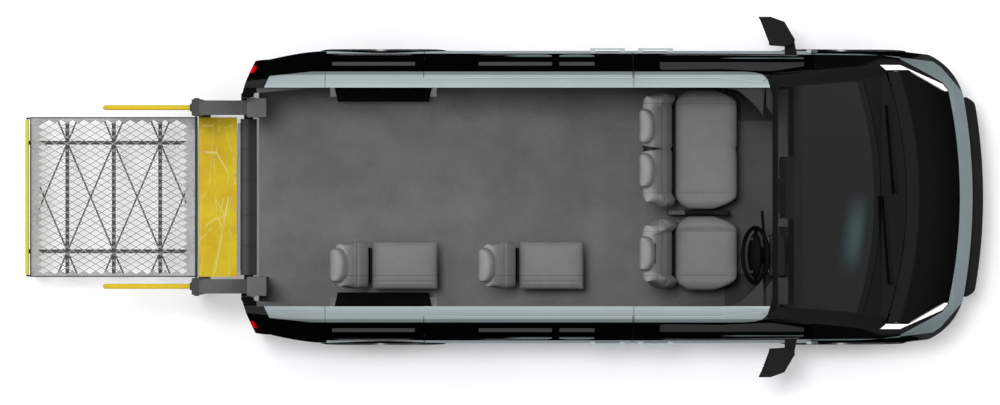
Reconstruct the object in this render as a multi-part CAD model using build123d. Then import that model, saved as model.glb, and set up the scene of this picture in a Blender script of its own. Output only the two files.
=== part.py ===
from build123d import *
from collections import namedtuple
from math import atan2, cos, degrees, hypot, radians, sin
import os

# Wheelchair accessible van with its roof skin and tailgate off and a platform lift at its rear sill.
# All lengths are in millimetres. +X points forward, +Y to the vehicle's left and +Z up.
# The origin is on the ground, under the middle of the whole object.

# Vehicle plan
FRONT_OVERHANG = 966
WHEELBASE = 3211
REAR_OVERHANG = 973
HALF_WIDTH = 1013
TRACK = 1726

# Lift plan, measured back from the rear bumper's face
PIVOT_AHEAD_OF_BUMPER = 69
ARM_RUN = 383
ARM_DROP = 490
PIVOT_TO_PLATFORM = 9
PLATFORM_BARREL_RADIUS = 12
PLATFORM_LENGTH = 1170
ROLL_STOP_GAP = 8
ROLL_STOP_THICKNESS = 21

LIFT_REACH = (ARM_RUN - PIVOT_AHEAD_OF_BUMPER + PIVOT_TO_PLATFORM + PLATFORM_LENGTH
              + ROLL_STOP_GAP + ROLL_STOP_THICKNESS)
VEHICLE_LENGTH = FRONT_OVERHANG + WHEELBASE + REAR_OVERHANG
REAR_X = (LIFT_REACH - VEHICLE_LENGTH) / 2
FRONT_X = REAR_X + VEHICLE_LENGTH
REAR_AXLE_X = REAR_X + REAR_OVERHANG
FRONT_AXLE_X = REAR_AXLE_X + WHEELBASE

# Heights of the body's lines in the middle of the van
SILL_Z = 210
FLANK_Z = 330
SHOULDER_Z = 880
WAIST_Z = 1000
GLASS_TOP_Z = 1735
DOOR_TOP_Z = 1805
RAIL_Z = 1862
CROWN_Z = 1930
FLOOR_Z = 560
FLOOR_THICKNESS = 40

# Walls and gaps
BODY_WALL = 60
DOOR_WALL = 50
HOOD_WALL = 25
PILLAR_DEPTH = 45
SEAT_GAP = 0.3
SHUT_GAP = 6
GLASS_DEPTH = 4
GLASS_THICKNESS = 5
RAIL_INNER_Y = 755
SIDE_LIMIT = 1300

# Wheels
TYRE_RADIUS = 355
TYRE_WIDTH = 235
RIM_RADIUS = 229
RIM_WIDTH = 205
SPOKE_COUNT = 5
HUB_RADIUS = 70
STUB_RADIUS = 30
STUB_CLEARANCE = 0.3
WHEEL_Z = TYRE_RADIUS
WHEEL_Y = TRACK / 2
ARCH_RADIUS = 400
FLARE_WIDTH = 38
FLARE_PROUD = 12
KINGPIN_Y = WHEEL_Y - 62
STEER_LIMIT = 35
STEERING_RATIO = 15

# Doors
SLIDING_DOOR_REAR_X = REAR_AXLE_X + 285
DOOR_SPLIT_X = FRONT_AXLE_X - 1477
FRONT_DOOR_EDGE_X = FRONT_AXLE_X - 229
DOOR_SILL_Z = 365
HINGE_X = FRONT_DOOR_EDGE_X + 4
HINGE_Y = HALF_WIDTH + 6
FRONT_DOOR_LIMIT = 65

# Windscreen and hood
HEADER_X = FRONT_AXLE_X - 487
SCREEN_BASE_X = FRONT_AXLE_X + 250
HOOD_REAR_X = FRONT_AXLE_X + 429
HOOD_CORNER_X = FRONT_AXLE_X + 294
HOOD_FRONT_X = FRONT_AXLE_X + 789
FENDER_END_X = FRONT_AXLE_X + 386
HOOD_HINGE_X = FRONT_AXLE_X + 280
HOOD_HINGE_Z = 1122
COWL_WALL = 25
HOOD_LIMIT = 50

# Lift
TOWER_WIDTH = 130
TOWER_DEPTH = 132
TOWER_INNER_Y = 554
TOWER_HEIGHT = 940
TOWER_WALL = 8
ARM_WIDTH = 100
ARM_DEPTH = 44
ARM_SPACING = 200
UPPER_PIVOT_Z = FLOOR_Z + 720
PLATFORM_HALF_WIDTH = 558
PLATFORM_DEPTH = 50
PLATFORM_RIM = 8
MESH_THICKNESS = 5
MESH_PITCH_X = 81
MESH_PITCH_Y = 48
STRAND_WIDTH = 6
BRIDGE_THICKNESS = 6
BRIDGE_HALF_WIDTH = 556
ROLL_STOP_HEIGHT = 160
ROLL_STOP_HALF_WIDTH = 540
ROLL_STOP_LIMIT = 95
HANDRAIL_RADIUS = 17
HANDRAIL_LENGTH = 600
HANDRAIL_DROP = 280
PIN_RADIUS = 12
LIFT_GAP = 6

PIVOT_X = REAR_X + PIVOT_AHEAD_OF_BUMPER
LOWER_PIVOT_Z = UPPER_PIVOT_Z - ARM_SPACING
CARRIAGE_PIVOT_X = PIVOT_X - ARM_RUN
ARM_RISE = ARM_DROP / 2
ARM_LENGTH = hypot(ARM_RUN, ARM_RISE)
ARM_ANGLE = degrees(atan2(ARM_RISE, ARM_RUN))
PLATFORM_X = CARRIAGE_PIVOT_X - PIVOT_TO_PLATFORM
PLATFORM_END_X = PLATFORM_X - PLATFORM_LENGTH
PLATFORM_Z = FLOOR_Z
PLATFORM_HINGE_X = PLATFORM_X - PLATFORM_BARREL_RADIUS
PLATFORM_HINGE_Z = PLATFORM_Z - PLATFORM_BARREL_RADIUS
PLATFORM_ROD_RADIUS = 7
BRIDGE_BARREL_RADIUS = 9
BRIDGE_ROD_RADIUS = 4
BRIDGE_X = PLATFORM_X + LIFT_GAP
BRIDGE_HINGE_X = BRIDGE_X + BRIDGE_BARREL_RADIUS
BRIDGE_HINGE_Z = PLATFORM_Z - BRIDGE_BARREL_RADIUS
UPRIGHT_INNER_Y = PLATFORM_HALF_WIDTH + LIFT_GAP

# Seats, each by its cushion's rear edge, front edge, right side and left side
SEAT_TOP_Z = FLOOR_Z + 400
CUSHION_THICKNESS = 130
BACK_HEIGHT = 560
BACK_GAP = 2
HEADREST_HEIGHT = 190
Seat = namedtuple("Seat", "name rear_x front_x right_y left_y recline margin pad_width pad_offsets")
SEATS = [
    Seat("driver", 1193, 1625, -648, -134, 13.5, 22, 240, (0,)),
    Seat("bench", 1193, 1625, -83, 748, 13.5, 22, 236, (-148, 158)),
    Seat("single_front", 106, 558, -641, -304, 15.5, 6, 246, (0,)),
    Seat("single_rear", -917, -458, -641, -304, 15.5, 6, 246, (0,)),
]

STEERING_WHEEL_X = 1745
STEERING_WHEEL_Y = -405
STEERING_WHEEL_Z = FLOOR_Z + 545
STEERING_WHEEL_RADIUS = 205
STEERING_RIM_RADIUS = 14
COLUMN_RAKE = 26

Station = namedtuple("Station", "x ins heights crown")
# Each row is one cross-section: how far in from the half width its seven corners lie, and how high.
# The corners run sill, flank, shoulder, waist, glass top, door top and roof rail.
MAIN_HEIGHTS = (SILL_Z, FLANK_Z, SHOULDER_Z, WAIST_Z, GLASS_TOP_Z, DOOR_TOP_Z, RAIL_Z)
STATIONS = [
    Station(REAR_X - 46, (113, 28, 23, 48, 213, 253, 313), MAIN_HEIGHTS, CROWN_Z - 15),
    Station(REAR_AXLE_X - 396, (88, 8, 0, 17, 145, 191, 258), MAIN_HEIGHTS, CROWN_Z),
    Station(FRONT_AXLE_X - 870, (88, 8, 0, 17, 145, 191, 258), MAIN_HEIGHTS, CROWN_Z),
    Station(HEADER_X, (88, 8, 0, 21, 163, 201, 242),
            (SILL_Z, FLANK_Z, SHOULDER_Z, WAIST_Z, GLASS_TOP_Z - 35, DOOR_TOP_Z - 40, RAIL_Z - 47),
            CROWN_Z - 68),
    Station(SCREEN_BASE_X, (88, 10, 3, 28, 89, 133, 186),
            (SILL_Z + 10, FLANK_Z, SHOULDER_Z - 20, WAIST_Z - 15, 1110, 1135, 1155), 1190),
    Station(HOOD_REAR_X, (98, 13, 8, 53, 98, 118, 143),
            (SILL_Z + 20, FLANK_Z, SHOULDER_Z - 40, WAIST_Z - 40, 1035, 1050, 1065), 1125),
    Station(HOOD_FRONT_X - 29, (133, 53, 48, 153, 213, 233, 268),
            (SILL_Z + 20, FLANK_Z, SHOULDER_Z - 100, 860, 905, 918, 930), 968),
    Station(FRONT_X - 61, (173, 113, 108, 213, 273, 293, 323),
            (SILL_Z + 20, FLANK_Z, SHOULDER_Z - 200, 715, 740, 750, 758), 790),
]
# Outward bulge of each stretch between neighbouring corners, at most this share of its length
BULGES = (0, 9, 3, 10, 4, 4)
BULGE_SHARE = 0.05

# Half outline in plan from the nose's corner round to the rear face, as x, y and the bulge of the
# stretch that follows
PLAN = [
    (FRONT_X - 139, HALF_WIDTH - 314, 48),
    (FRONT_X - 401, HALF_WIDTH - 13, 3),
    (FRONT_X - 640, HALF_WIDTH + 25, 0),
    (REAR_X + 714, HALF_WIDTH + 25, 0),
    (REAR_X + 424, HALF_WIDTH - 10, 3),
    (REAR_X + 188, HALF_WIDTH - 58, 2),
    (REAR_X + 90, HALF_WIDTH - 68, 6),
    (REAR_X, HALF_WIDTH - 323, 0),
]
NOSE_X = FRONT_X - 74


def inset_chain(points, before, after, depth):
    """The corners of an open chain moved inwards by depth; outward is to the right of its travel."""
    full = [before, *points, after]
    moved = []
    for (ax, ay), (bx, by), (cx, cy) in zip(full, full[1:], full[2:]):
        first, second = hypot(bx - ax, by - ay), hypot(cx - bx, cy - by)
        n1 = ((by - ay) / first, -(bx - ax) / first)
        n2 = ((cy - by) / second, -(cx - bx) / second)
        k = depth / (1 + n1[0] * n2[0] + n1[1] * n2[1])
        moved.append((bx - (n1[0] + n2[0]) * k, by - (n1[1] + n2[1]) * k))
    return moved


def bulged(a, b, bulge, lift):
    """An edge from a to b whose middle stands out by bulge; lift places a 2D point in space."""
    if not bulge:
        return Edge.make_line(lift(*a), lift(*b))
    length = hypot(b[0] - a[0], b[1] - a[1])
    middle = ((a[0] + b[0]) / 2 + (b[1] - a[1]) / length * bulge,
              (a[1] + b[1]) / 2 - (b[0] - a[0]) / length * bulge)
    return Edge.make_three_point_arc(lift(*a), lift(*middle), lift(*b))


def closed_outline(points, bulges, end_middle, lift, flipped):
    """The wire of a half chain and its mirror image, joined by an arc at end_middle and by a line."""
    edges = [bulged(a, b, s, lift) for a, b, s in zip(points, points[1:], bulges)]
    edges.append(Edge.make_three_point_arc(lift(*points[-1]), lift(*end_middle), flipped(*points[-1])))
    for a, b, s in reversed(list(zip(points, points[1:], bulges))):
        mirrored_edge = bulged(a, b, s, flipped)
        edges.append(Edge.make_three_point_arc(mirrored_edge @ 1, mirrored_edge @ 0.5, mirrored_edge @ 0)
                     if s else Edge.make_line(mirrored_edge @ 1, mirrored_edge @ 0))
    edges.append(Edge.make_line(flipped(*points[0]), lift(*points[0])))
    return Wire(edges)


def section_wire(station, depth):
    """A station's closed cross-section, moved inwards by depth."""
    corners = [(HALF_WIDTH - inward, z) for inward, z in zip(station.ins, station.heights)]
    corners = inset_chain(corners, (0, corners[0][1]), (0, corners[-1][1] + 60), depth)
    bulges = [min(bulge, hypot(b[0] - a[0], b[1] - a[1]) * BULGE_SHARE)
              for bulge, a, b in zip(BULGES, corners, corners[1:])]
    return closed_outline(corners, bulges, (0, station.crown - depth),
                          lambda y, z: (station.x, y, z), lambda y, z: (station.x, -y, z))


def plan_prism(depth):
    """The plan outline as an upright prism, moved inwards by depth."""
    corners = [(x, y) for x, y, _ in PLAN]
    corners = inset_chain(corners, (NOSE_X, 0), (REAR_X, 0), depth)
    backwards = list(reversed(corners))
    bulges = [-bulge for *_, bulge in reversed(PLAN[:-1])]
    outline = closed_outline(backwards, bulges, (NOSE_X - depth, 0),
                             lambda x, y: (x, y, 0), lambda x, y: (x, -y, 0))
    return Solid.extrude(Face(outline), Vector(0, 0, CROWN_Z + 200))


HULLS = {}


def hull(depth):
    """The body's outer form moved inwards by depth, as one closed solid."""
    if depth not in HULLS:
        loft_solid = Solid.make_loft([section_wire(s, depth) for s in STATIONS], ruled=True)
        HULLS[depth] = one(loft_solid & plan_prism(depth))
    return HULLS[depth]


def pieces(shape):
    """All solids of a shape, as a list."""
    if shape is None:
        return []
    if isinstance(shape, (list, tuple)):
        return [s for item in shape for s in pieces(item)]
    return list(shape.solids())


def one(shape):
    """A shape as one solid, or as a compound where it has several."""
    found = pieces(shape)
    return found[0] if len(found) == 1 else Compound(children=found) if found else None


def cut(shape, *tools):
    """shape less each tool."""
    for tool in tools:
        for piece in pieces(tool):
            shape = one(shape - piece)
    return shape


def common(shape, tool):
    """What shape and tool share."""
    return one(Compound(children=pieces([s & tool for s in pieces(shape)])))


def join(*shapes):
    """The shapes fused."""
    found = pieces(list(shapes))
    result = found[0]
    for piece in found[1:]:
        result = result + piece
    return one(result)


def mirrored(shape):
    """The same shape on the vehicle's other side."""
    return shape.mirror(Plane.XZ)


def prism(axis, points, low, high, radius=0):
    """A polygon extruded along axis from low to high. Its points are (x, z) along y, (x, y) along z
    and (y, z) along x."""
    place = {"x": lambda u, v: (low, u, v), "y": lambda u, v: (u, low, v), "z": lambda u, v: (u, v, low)}
    along = {"x": (1, 0, 0), "y": (0, 1, 0), "z": (0, 0, 1)}[axis]
    face = Face(Wire.make_polygon([place[axis](*p) for p in points], close=True))
    if radius:
        face = face.fillet_2d(radius, face.vertices())
    return Solid.extrude(face, Vector(*along) * (high - low))


def block(x0, x1, y0, y1, z0, z1):
    """A box between two corners."""
    return Pos((x0 + x1) / 2, (y0 + y1) / 2, (z0 + z1) / 2) * Box(x1 - x0, y1 - y0, z1 - z0)


def rod(axis, centre, radius, length):
    """A round bar along axis, centred on centre."""
    turn = {"x": Rot(0, 90, 0), "y": Rot(90, 0, 0), "z": Rot(0, 0, 0)}[axis]
    return Pos(*centre) * turn * Cylinder(radius, length)


def soft_block(x0, x1, y0, y1, z0, z1, radius):
    """A box with all its edges rounded."""
    return one(fillet(block(x0, x1, y0, y1, z0, z1).edges(), radius))


def bar(a, b, width, depth, across=(0, 1, 0)):
    """A square bar from a to b; width lies along across."""
    start, end = Vector(*a), Vector(*b)
    plane = Plane(origin=start, x_dir=Vector(*across), z_dir=end - start)
    return Solid.extrude((plane * Rectangle(width, depth)).face(), end - start)


def wall(depth_out, depth_in):
    """The body's skin between two depths."""
    key = (depth_out, depth_in)
    if key not in HULLS:
        HULLS[key] = cut(hull(depth_out), hull(depth_in))
    return HULLS[key]


def left_of(shape):
    """The part of a shape on the vehicle's left."""
    return common(shape, block(REAR_X - 100, FRONT_X + 100, 0, SIDE_LIMIT, 0, CROWN_Z + 100))


def station_height(x, corner):
    """Height of a body line at x, between the stations."""
    for a, b in zip(STATIONS, STATIONS[1:]):
        if a.x <= x <= b.x:
            share = (x - a.x) / (b.x - a.x)
            return a.heights[corner] * (1 - share) + b.heights[corner] * share
    return STATIONS[-1].heights[corner]


# Outlines that several panels share

def front_door_points(gap):
    """Side outline of the front door, drawn in by gap."""
    pillar_top = station_height(HEADER_X, 4) - 6 - gap
    pillar_low = station_height(FRONT_DOOR_EDGE_X, 4) - 6 - gap
    return [
        (DOOR_SPLIT_X + 2 + gap, DOOR_SILL_Z + gap), (FRONT_AXLE_X - 455 - gap, DOOR_SILL_Z + gap),
        (FRONT_AXLE_X - 455 - gap, 480), (FRONT_AXLE_X - 350 - gap, 690),
        (FRONT_DOOR_EDGE_X - gap, 810), (FRONT_DOOR_EDGE_X - gap, pillar_low),
        (HEADER_X - 13 - gap, pillar_top), (HEADER_X - 91 - gap, DOOR_TOP_Z - gap),
        (DOOR_SPLIT_X + 2 + gap, DOOR_TOP_Z - gap),
    ]


def sliding_door_points(gap):
    """Side outline of the sliding door. It stands on its sill."""
    return [
        (REAR_AXLE_X + 455 + gap, DOOR_SILL_Z), (DOOR_SPLIT_X - 2 - gap, DOOR_SILL_Z),
        (DOOR_SPLIT_X - 2 - gap, DOOR_TOP_Z - gap), (SLIDING_DOOR_REAR_X + gap, DOOR_TOP_Z - gap),
        (SLIDING_DOOR_REAR_X + gap, 820), (REAR_AXLE_X + 400 + gap, 620), (REAR_AXLE_X + 455 + gap, 480),
    ]


def window_points(rear_x, front_x, low_z, high_z, front_low_x=None):
    """Side outline of a window."""
    return [(rear_x, low_z), (front_low_x or front_x, low_z), (front_x, high_z), (rear_x, high_z)]


WINDOW_LOW_Z = WAIST_Z + 45
WINDOW_HIGH_Z = GLASS_TOP_Z - 35
WINDOW_RADIUS = 40
FRONT_WINDOW = [
    (DOOR_SPLIT_X + 185, WINDOW_LOW_Z), (FRONT_DOOR_EDGE_X - 60, WINDOW_LOW_Z),
    (FRONT_DOOR_EDGE_X - 60, station_height(FRONT_DOOR_EDGE_X, 4) - 90),
    (HEADER_X - 40, GLASS_TOP_Z - 95), (DOOR_SPLIT_X + 185, WINDOW_HIGH_Z - 10),
]
SLIDING_WINDOWS = [
    window_points(SLIDING_DOOR_REAR_X + 380, DOOR_SPLIT_X - 560, WINDOW_LOW_Z, WINDOW_HIGH_Z),
    window_points(DOOR_SPLIT_X - 510, DOOR_SPLIT_X - 265, WINDOW_LOW_Z, WINDOW_HIGH_Z),
]
QUARTER_WINDOW = window_points(REAR_AXLE_X - 350, SLIDING_DOOR_REAR_X - 60, WINDOW_LOW_Z, WINDOW_HIGH_Z)


HOOD_CORNER_RELIEF = 8


def hood_outline(gap):
    """Plan prism of the hood's opening, grown by gap and a little more at the rear corners."""
    corner = (HOOD_CORNER_X - gap - (HOOD_CORNER_RELIEF if gap else 0), 868)
    side = [(SCREEN_BASE_X + 188, 876 + gap * 0.6), (FRONT_AXLE_X + 698, 729 + gap * 0.6)]
    front = (FRONT_AXLE_X + 718 + gap * 0.4, 729)
    half = [corner, *side, front]
    edges = [Edge.make_three_point_arc((corner[0], -corner[1], 0), (HOOD_REAR_X - gap, 0, 0),
                                       (*corner, 0))]
    edges += [Edge.make_line((*a, 0), (*b, 0)) for a, b in zip(half, half[1:])]
    edges.append(Edge.make_three_point_arc((*front, 0), (HOOD_FRONT_X + gap * 1.2, 0, 0),
                                           (front[0], -front[1], 0)))
    flipped = [(x, -y) for x, y in reversed(half)]
    edges += [Edge.make_line((*a, 0), (*b, 0)) for a, b in zip(flipped, flipped[1:])]
    return Pos(0, 0, 600) * Solid.extrude(Face(Wire(edges)), Vector(0, 0, 900))


def screen_outline(gap):
    """Plan prism of the windscreen's opening, drawn in by gap."""
    top = (HEADER_X + 8 + gap, 755 - gap)
    low = (SCREEN_BASE_X - 130 - gap, 806 - gap)
    edges = [
        Edge.make_line((top[0], -top[1], 0), (*top, 0)),
        Edge.make_line((*top, 0), (*low, 0)),
        Edge.make_three_point_arc((*low, 0), (SCREEN_BASE_X - 4 - gap, 0, 0), (low[0], -low[1], 0)),
        Edge.make_line((low[0], -low[1], 0), (top[0], -top[1], 0)),
    ]
    return Pos(0, 0, 900) * Solid.extrude(Face(Wire(edges)), Vector(0, 0, 1100))


DRL_POINTS = [
    (SCREEN_BASE_X - 10, 917), (FENDER_END_X - 5, 917), (HOOD_FRONT_X - 109, 785), (HOOD_FRONT_X - 71, 740),
    (HOOD_FRONT_X - 91, 735), (SCREEN_BASE_X + 188, 883), (SCREEN_BASE_X + 33, 881),
]
LAMP_POINTS = [
    (FENDER_END_X, 957), (HOOD_FRONT_X - 224, 862), (HOOD_FRONT_X - 109, 797), (HOOD_FRONT_X - 62, 738),
    (HOOD_FRONT_X - 91, 725), (SCREEN_BASE_X + 188, 850), (FENDER_END_X, 850),
]


def arch_cutter(axle_x, radius, inner_y):
    """The round opening over a wheel, on the left."""
    return rod("y", (axle_x, (inner_y + SIDE_LIMIT) / 2, WHEEL_Z), radius, SIDE_LIMIT - inner_y)


def side_panel(thickness, points, *tools):
    """A panel of the left side: the skin inside a side outline, less the tools."""
    skin = common(wall(0, thickness), prism("y", points, 560, SIDE_LIMIT))
    return cut(skin, *tools)


def door_handle(x0, x1):
    """A bar handle on two feet, on the left side, sunk into the panel's face."""
    z = WAIST_Z - 75
    out = HALF_WIDTH + 22
    grip = block(x0, x1, out - 12, out, z - 16, z + 16)
    feet = [block(x, x + 38, HALF_WIDTH - 22, out - 6, z - 14, z + 14) for x in (x0, x1 - 38)]
    return join(grip, *feet)


def body_sides():
    """Left side wall: rear quarter, sill, roof rail and door post as one welded piece."""
    skin = left_of(wall(0, BODY_WALL))
    skin = cut(
        skin,
        prism("y", front_door_points(0), 0, SIDE_LIMIT),
        prism("y", sliding_door_points(0), 0, SIDE_LIMIT),
        block(REAR_X - 100, FRONT_X, 0, HALF_WIDTH - 140, 0, FLOOR_Z - FLOOR_THICKNESS),
        block(REAR_X - 100, FRONT_X, 0, RAIL_INNER_Y, DOOR_TOP_Z - 25, CROWN_Z + 100),
        block(REAR_X - 100, REAR_X + 200, 0, REAR_OPENING_Y, 0, CROWN_Z + 100),
        prism("z", [(HEADER_X - 91, 900), (HEADER_X - 30, 700), (HEADER_X - 30, 0), (FRONT_X, 0),
                    (FRONT_X, 1100), (HEADER_X - 91, 1100)], DOOR_SILL_Z + 400, CROWN_Z + 100),
        block(FRONT_AXLE_X - 455, FRONT_X + 50, 0, SIDE_LIMIT, 0, CROWN_Z + 100),
        block(REAR_X - 60, REAR_X + BUMPER_DEPTH, 0, SIDE_LIMIT, 0, BUMPER_TOP_Z),
        arch_cutter(REAR_AXLE_X, ARCH_RADIUS, 600),
        prism("y", QUARTER_WINDOW, 700, SIDE_LIMIT, WINDOW_RADIUS),
        tail_lamp_prism(0),
    )
    post_box = block(DOOR_SPLIT_X - 45, DOOR_SPLIT_X + 45, RAIL_INNER_Y, SIDE_LIMIT, FLOOR_Z + 1, DOOR_TOP_Z)
    post = cut(common(hull(BODY_WALL - 2), post_box), Pos(0, -PILLAR_DEPTH, 0) * hull(BODY_WALL - 2))
    return join(skin, post)


REAR_OPENING_Y = 690
BUMPER_DEPTH = 150
BUMPER_TOP_Z = FLOOR_Z - 30
TAIL_LAMP_LOW_Z = 720
TAIL_LAMP_HIGH_Z = 1560


def tail_lamp_prism(gap):
    """Plan prism of the tail lamp at the left rear corner, drawn in by gap."""
    points = [(REAR_X - 60, 800 + gap), (REAR_X + 45 - gap, 800 + gap), (REAR_X + 100 - gap, 890),
              (REAR_X + 118 - gap, SIDE_LIMIT), (REAR_X - 60, SIDE_LIMIT)]
    return prism("z", points, TAIL_LAMP_LOW_Z + gap, TAIL_LAMP_HIGH_Z - gap)


def tail_lamps():
    left = common(left_of(wall(0, 35)), tail_lamp_prism(SEAT_GAP))
    return [left, mirrored(left)]


def sliding_door():
    """Left sliding door, with its windows cut and its handle."""
    windows = [prism("y", points, 700, SIDE_LIMIT, WINDOW_RADIUS) for points in SLIDING_WINDOWS]
    panel = side_panel(DOOR_WALL, sliding_door_points(4), arch_cutter(REAR_AXLE_X, ARCH_RADIUS, 600), *windows)
    return join(panel, door_handle(DOOR_SPLIT_X - 295, DOOR_SPLIT_X - 52))


DOOR_HINGE_HEIGHTS = (852, 946)
DOOR_BARREL_RADIUS = 9
DOOR_BARREL_LENGTH = 40
DOOR_PIN_RADIUS = 5


def door_barrels():
    """The front door's half of its two hinges, on the left."""
    made = []
    for z in DOOR_HINGE_HEIGHTS:
        half = DOOR_BARREL_LENGTH / 2
        leaf = block(HINGE_X - 40, HINGE_X, HINGE_Y - 16, HINGE_Y + 4, z - half, z + half)
        barrel = rod("z", (HINGE_X, HINGE_Y, z), DOOR_BARREL_RADIUS, DOOR_BARREL_LENGTH)
        bore = rod("z", (HINGE_X, HINGE_Y, z), DOOR_PIN_RADIUS + SEAT_GAP, DOOR_BARREL_LENGTH + 2)
        made.append(cut(join(leaf, barrel), bore))
    return made


def hinge_pins():
    """The fender's half of the door hinges: a pin between two ears, on the left."""
    made = []
    for z in DOOR_HINGE_HEIGHTS:
        reach = DOOR_BARREL_LENGTH / 2 + 1
        ears = [block(HINGE_X - 9, HINGE_X + 34, HINGE_Y - 16, HINGE_Y + 8, low, low + 9)
                for low in (z + reach, z - reach - 9)]
        made.append(join(rod("z", (HINGE_X, HINGE_Y, z), DOOR_PIN_RADIUS, 2 * reach + 4), *ears))
    return made


def front_door():
    """Left front door, with its window cut, its handle and the barrels of its hinges."""
    window = prism("y", FRONT_WINDOW, 700, SIDE_LIMIT, WINDOW_RADIUS)
    room = [block(HINGE_X - 12, HINGE_X + 40, HINGE_Y - 20, SIDE_LIMIT, z - 36, z + 36) for z in DOOR_HINGE_HEIGHTS]
    panel = side_panel(DOOR_WALL, front_door_points(SHUT_GAP - 1), window, *room)
    return join(panel, door_handle(DOOR_SPLIT_X + 38, DOOR_SPLIT_X + 282), *door_barrels())


def pane(points, depth=GLASS_DEPTH):
    """A window pane that follows the left side's skin."""
    face_prism = prism("y", points, 700, SIDE_LIMIT, WINDOW_RADIUS)
    grown = inset_polygon(points, SEAT_GAP)
    face_prism = prism("y", grown, 700, SIDE_LIMIT, WINDOW_RADIUS - SEAT_GAP)
    return common(wall(depth, depth + GLASS_THICKNESS), face_prism)


def inset_polygon(points, gap):
    """A closed polygon, drawn anticlockwise, moved inwards by gap."""
    return inset_chain(points, points[-1], points[0], gap)


def fixed_glass():
    left = [pane(points) for points in (*SLIDING_WINDOWS, QUARTER_WINDOW)]
    return left + [mirrored(p) for p in left]


COWL_HALF_WIDTH = 850
HOOD_LUG_Y = 800
HOOD_LUG_THICKNESS = 16
HOOD_PIN_RADIUS = 5
HINGE_SKIN = 7


def cowl_block():
    """The part of the cowl that lies ahead of the fenders' front edge."""
    return block(FENDER_END_X - 1, HOOD_REAR_X, -600, 600, 900, CROWN_Z)


def hood_lug():
    """The hood's bent left hinge arm, which passes under the cowl."""
    x, z = HOOD_HINGE_X, HOOD_HINGE_Z
    y0, y1 = HOOD_LUG_Y - HOOD_LUG_THICKNESS / 2, HOOD_LUG_Y + HOOD_LUG_THICKNESS / 2
    neck = prism("y", [(x - 10, z), (x - 10, z - 33), (x + 60, z - 33), (x + 106, z - 10), (x + 106, z + 60),
                       (x + 74, z + 60), (x + 74, z - 6), (x + 52, z - 20), (x + 10, z - 20), (x + 10, z)], y0, y1)
    lug = join(common(neck, hull(HOOD_WALL / 2)), rod("y", (x, HOOD_LUG_Y, z), 9, HOOD_LUG_THICKNESS))
    return cut(lug, rod("y", (x, HOOD_LUG_Y, z), HOOD_PIN_RADIUS + SEAT_GAP, 60))


def hinge_pocket():
    """The room under the cowl for the left hinge arm, which leaves a thin skin over it."""
    room = block(HOOD_HINGE_X - 15, HOOD_HINGE_X + 60, HOOD_LUG_Y - HOOD_LUG_THICKNESS, HOOD_LUG_Y + HOOD_LUG_THICKNESS,
                 HOOD_HINGE_Z - 60, CROWN_Z)
    return common(hull(HINGE_SKIN), room)


def hood_ears():
    """The ears under the cowl that hold the left hinge arm's pin."""
    x, z = HOOD_HINGE_X, HOOD_HINGE_Z
    gap = HOOD_LUG_THICKNESS / 2 + 3
    ears = [block(x - 11, x + 11, y, y + 10, z - 11, z + 60) for y in (HOOD_LUG_Y + gap, HOOD_LUG_Y - gap - 10)]
    pin = rod("y", (x, HOOD_LUG_Y, z), HOOD_PIN_RADIUS, 2 * gap + 12)
    return join(*[common(ear, hull(COWL_WALL / 2)) for ear in ears], pin)


def windscreen_frame():
    """Header, windscreen pillars, quarter panels and cowl, as one welded piece."""
    skin = wall(0, BODY_WALL)
    waist = [(x, station_height(x, 3)) for x in (FRONT_DOOR_EDGE_X + 3, SCREEN_BASE_X, FENDER_END_X)]
    above_door = [(x, z + 2) for x, z in reversed(front_door_points(0)[5:8])]
    outline = [*waist, (FENDER_END_X, CROWN_Z + 100), (HEADER_X - 300, CROWN_Z + 100),
               (HEADER_X - 300, DOOR_TOP_Z), (HEADER_X - 91, DOOR_TOP_Z), *above_door[1:2],
               (FRONT_DOOR_EDGE_X + 3, above_door[-1][1])]
    skin = common(skin, join(prism("y", outline, -SIDE_LIMIT, SIDE_LIMIT), cowl_block()))
    room = block(SCREEN_BASE_X - 60, HOOD_REAR_X + 20, -COWL_HALF_WIDTH, COWL_HALF_WIDTH, 900, CROWN_Z)
    skin = cut(skin, common(hull(COWL_WALL), room), hinge_pocket(), mirrored(hinge_pocket()))
    rear_edge = [(HEADER_X - 91, 1100), (HEADER_X - 91, 900), (HEADER_X - 30, 700), (HEADER_X - 30, -700),
                 (HEADER_X - 91, -900), (HEADER_X - 91, -1100), (HEADER_X - 400, -1100), (HEADER_X - 400, 1100)]
    drl = prism("z", DRL_POINTS, 700, CROWN_Z)
    spindles = [rod("z", (x, y, 1150), WIPER_SPINDLE_RADIUS + SEAT_GAP, 300) for x, y in WIPER_SPINDLES]
    skin = cut(skin, prism("z", rear_edge, DOOR_SILL_Z, CROWN_Z + 200), screen_outline(0), hood_outline(8),
               drl, mirrored(drl), *spindles)
    ears = hood_ears()
    return join(skin, ears, mirrored(ears))


def windscreen():
    return common(wall(GLASS_DEPTH, GLASS_DEPTH + GLASS_THICKNESS + 1), screen_outline(SEAT_GAP))


WIPER_SPINDLE_RADIUS = 9
WIPER_CLEARANCE = 12
WIPER_LENGTH = 600
WIPER_SWEEP = 55
WIPER_SPINDLES = [(SCREEN_BASE_X + 75, -590), (SCREEN_BASE_X + 105, 40)]


def wipers():
    """Two wiper arms with their blades, parked over the cowl and following its curve."""
    made = []
    for x, y in WIPER_SPINDLES:
        spindle = common(rod("z", (x, y, 1150), WIPER_SPINDLE_RADIUS, 300),
                         cut(hull(-WIPER_CLEARANCE - 10), hull(COWL_WALL + 10)))
        track = prism("z", [(x - 14, y - 20), (x + 14, y - 20), (x - WIPER_SWEEP + 8, y + WIPER_LENGTH),
                            (x - WIPER_SWEEP - 8, y + WIPER_LENGTH)], 900, CROWN_Z)
        blade = common(cut(hull(-WIPER_CLEARANCE - 16), hull(-WIPER_CLEARANCE)), track)
        made.append(join(spindle, blade))
    return made


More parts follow.
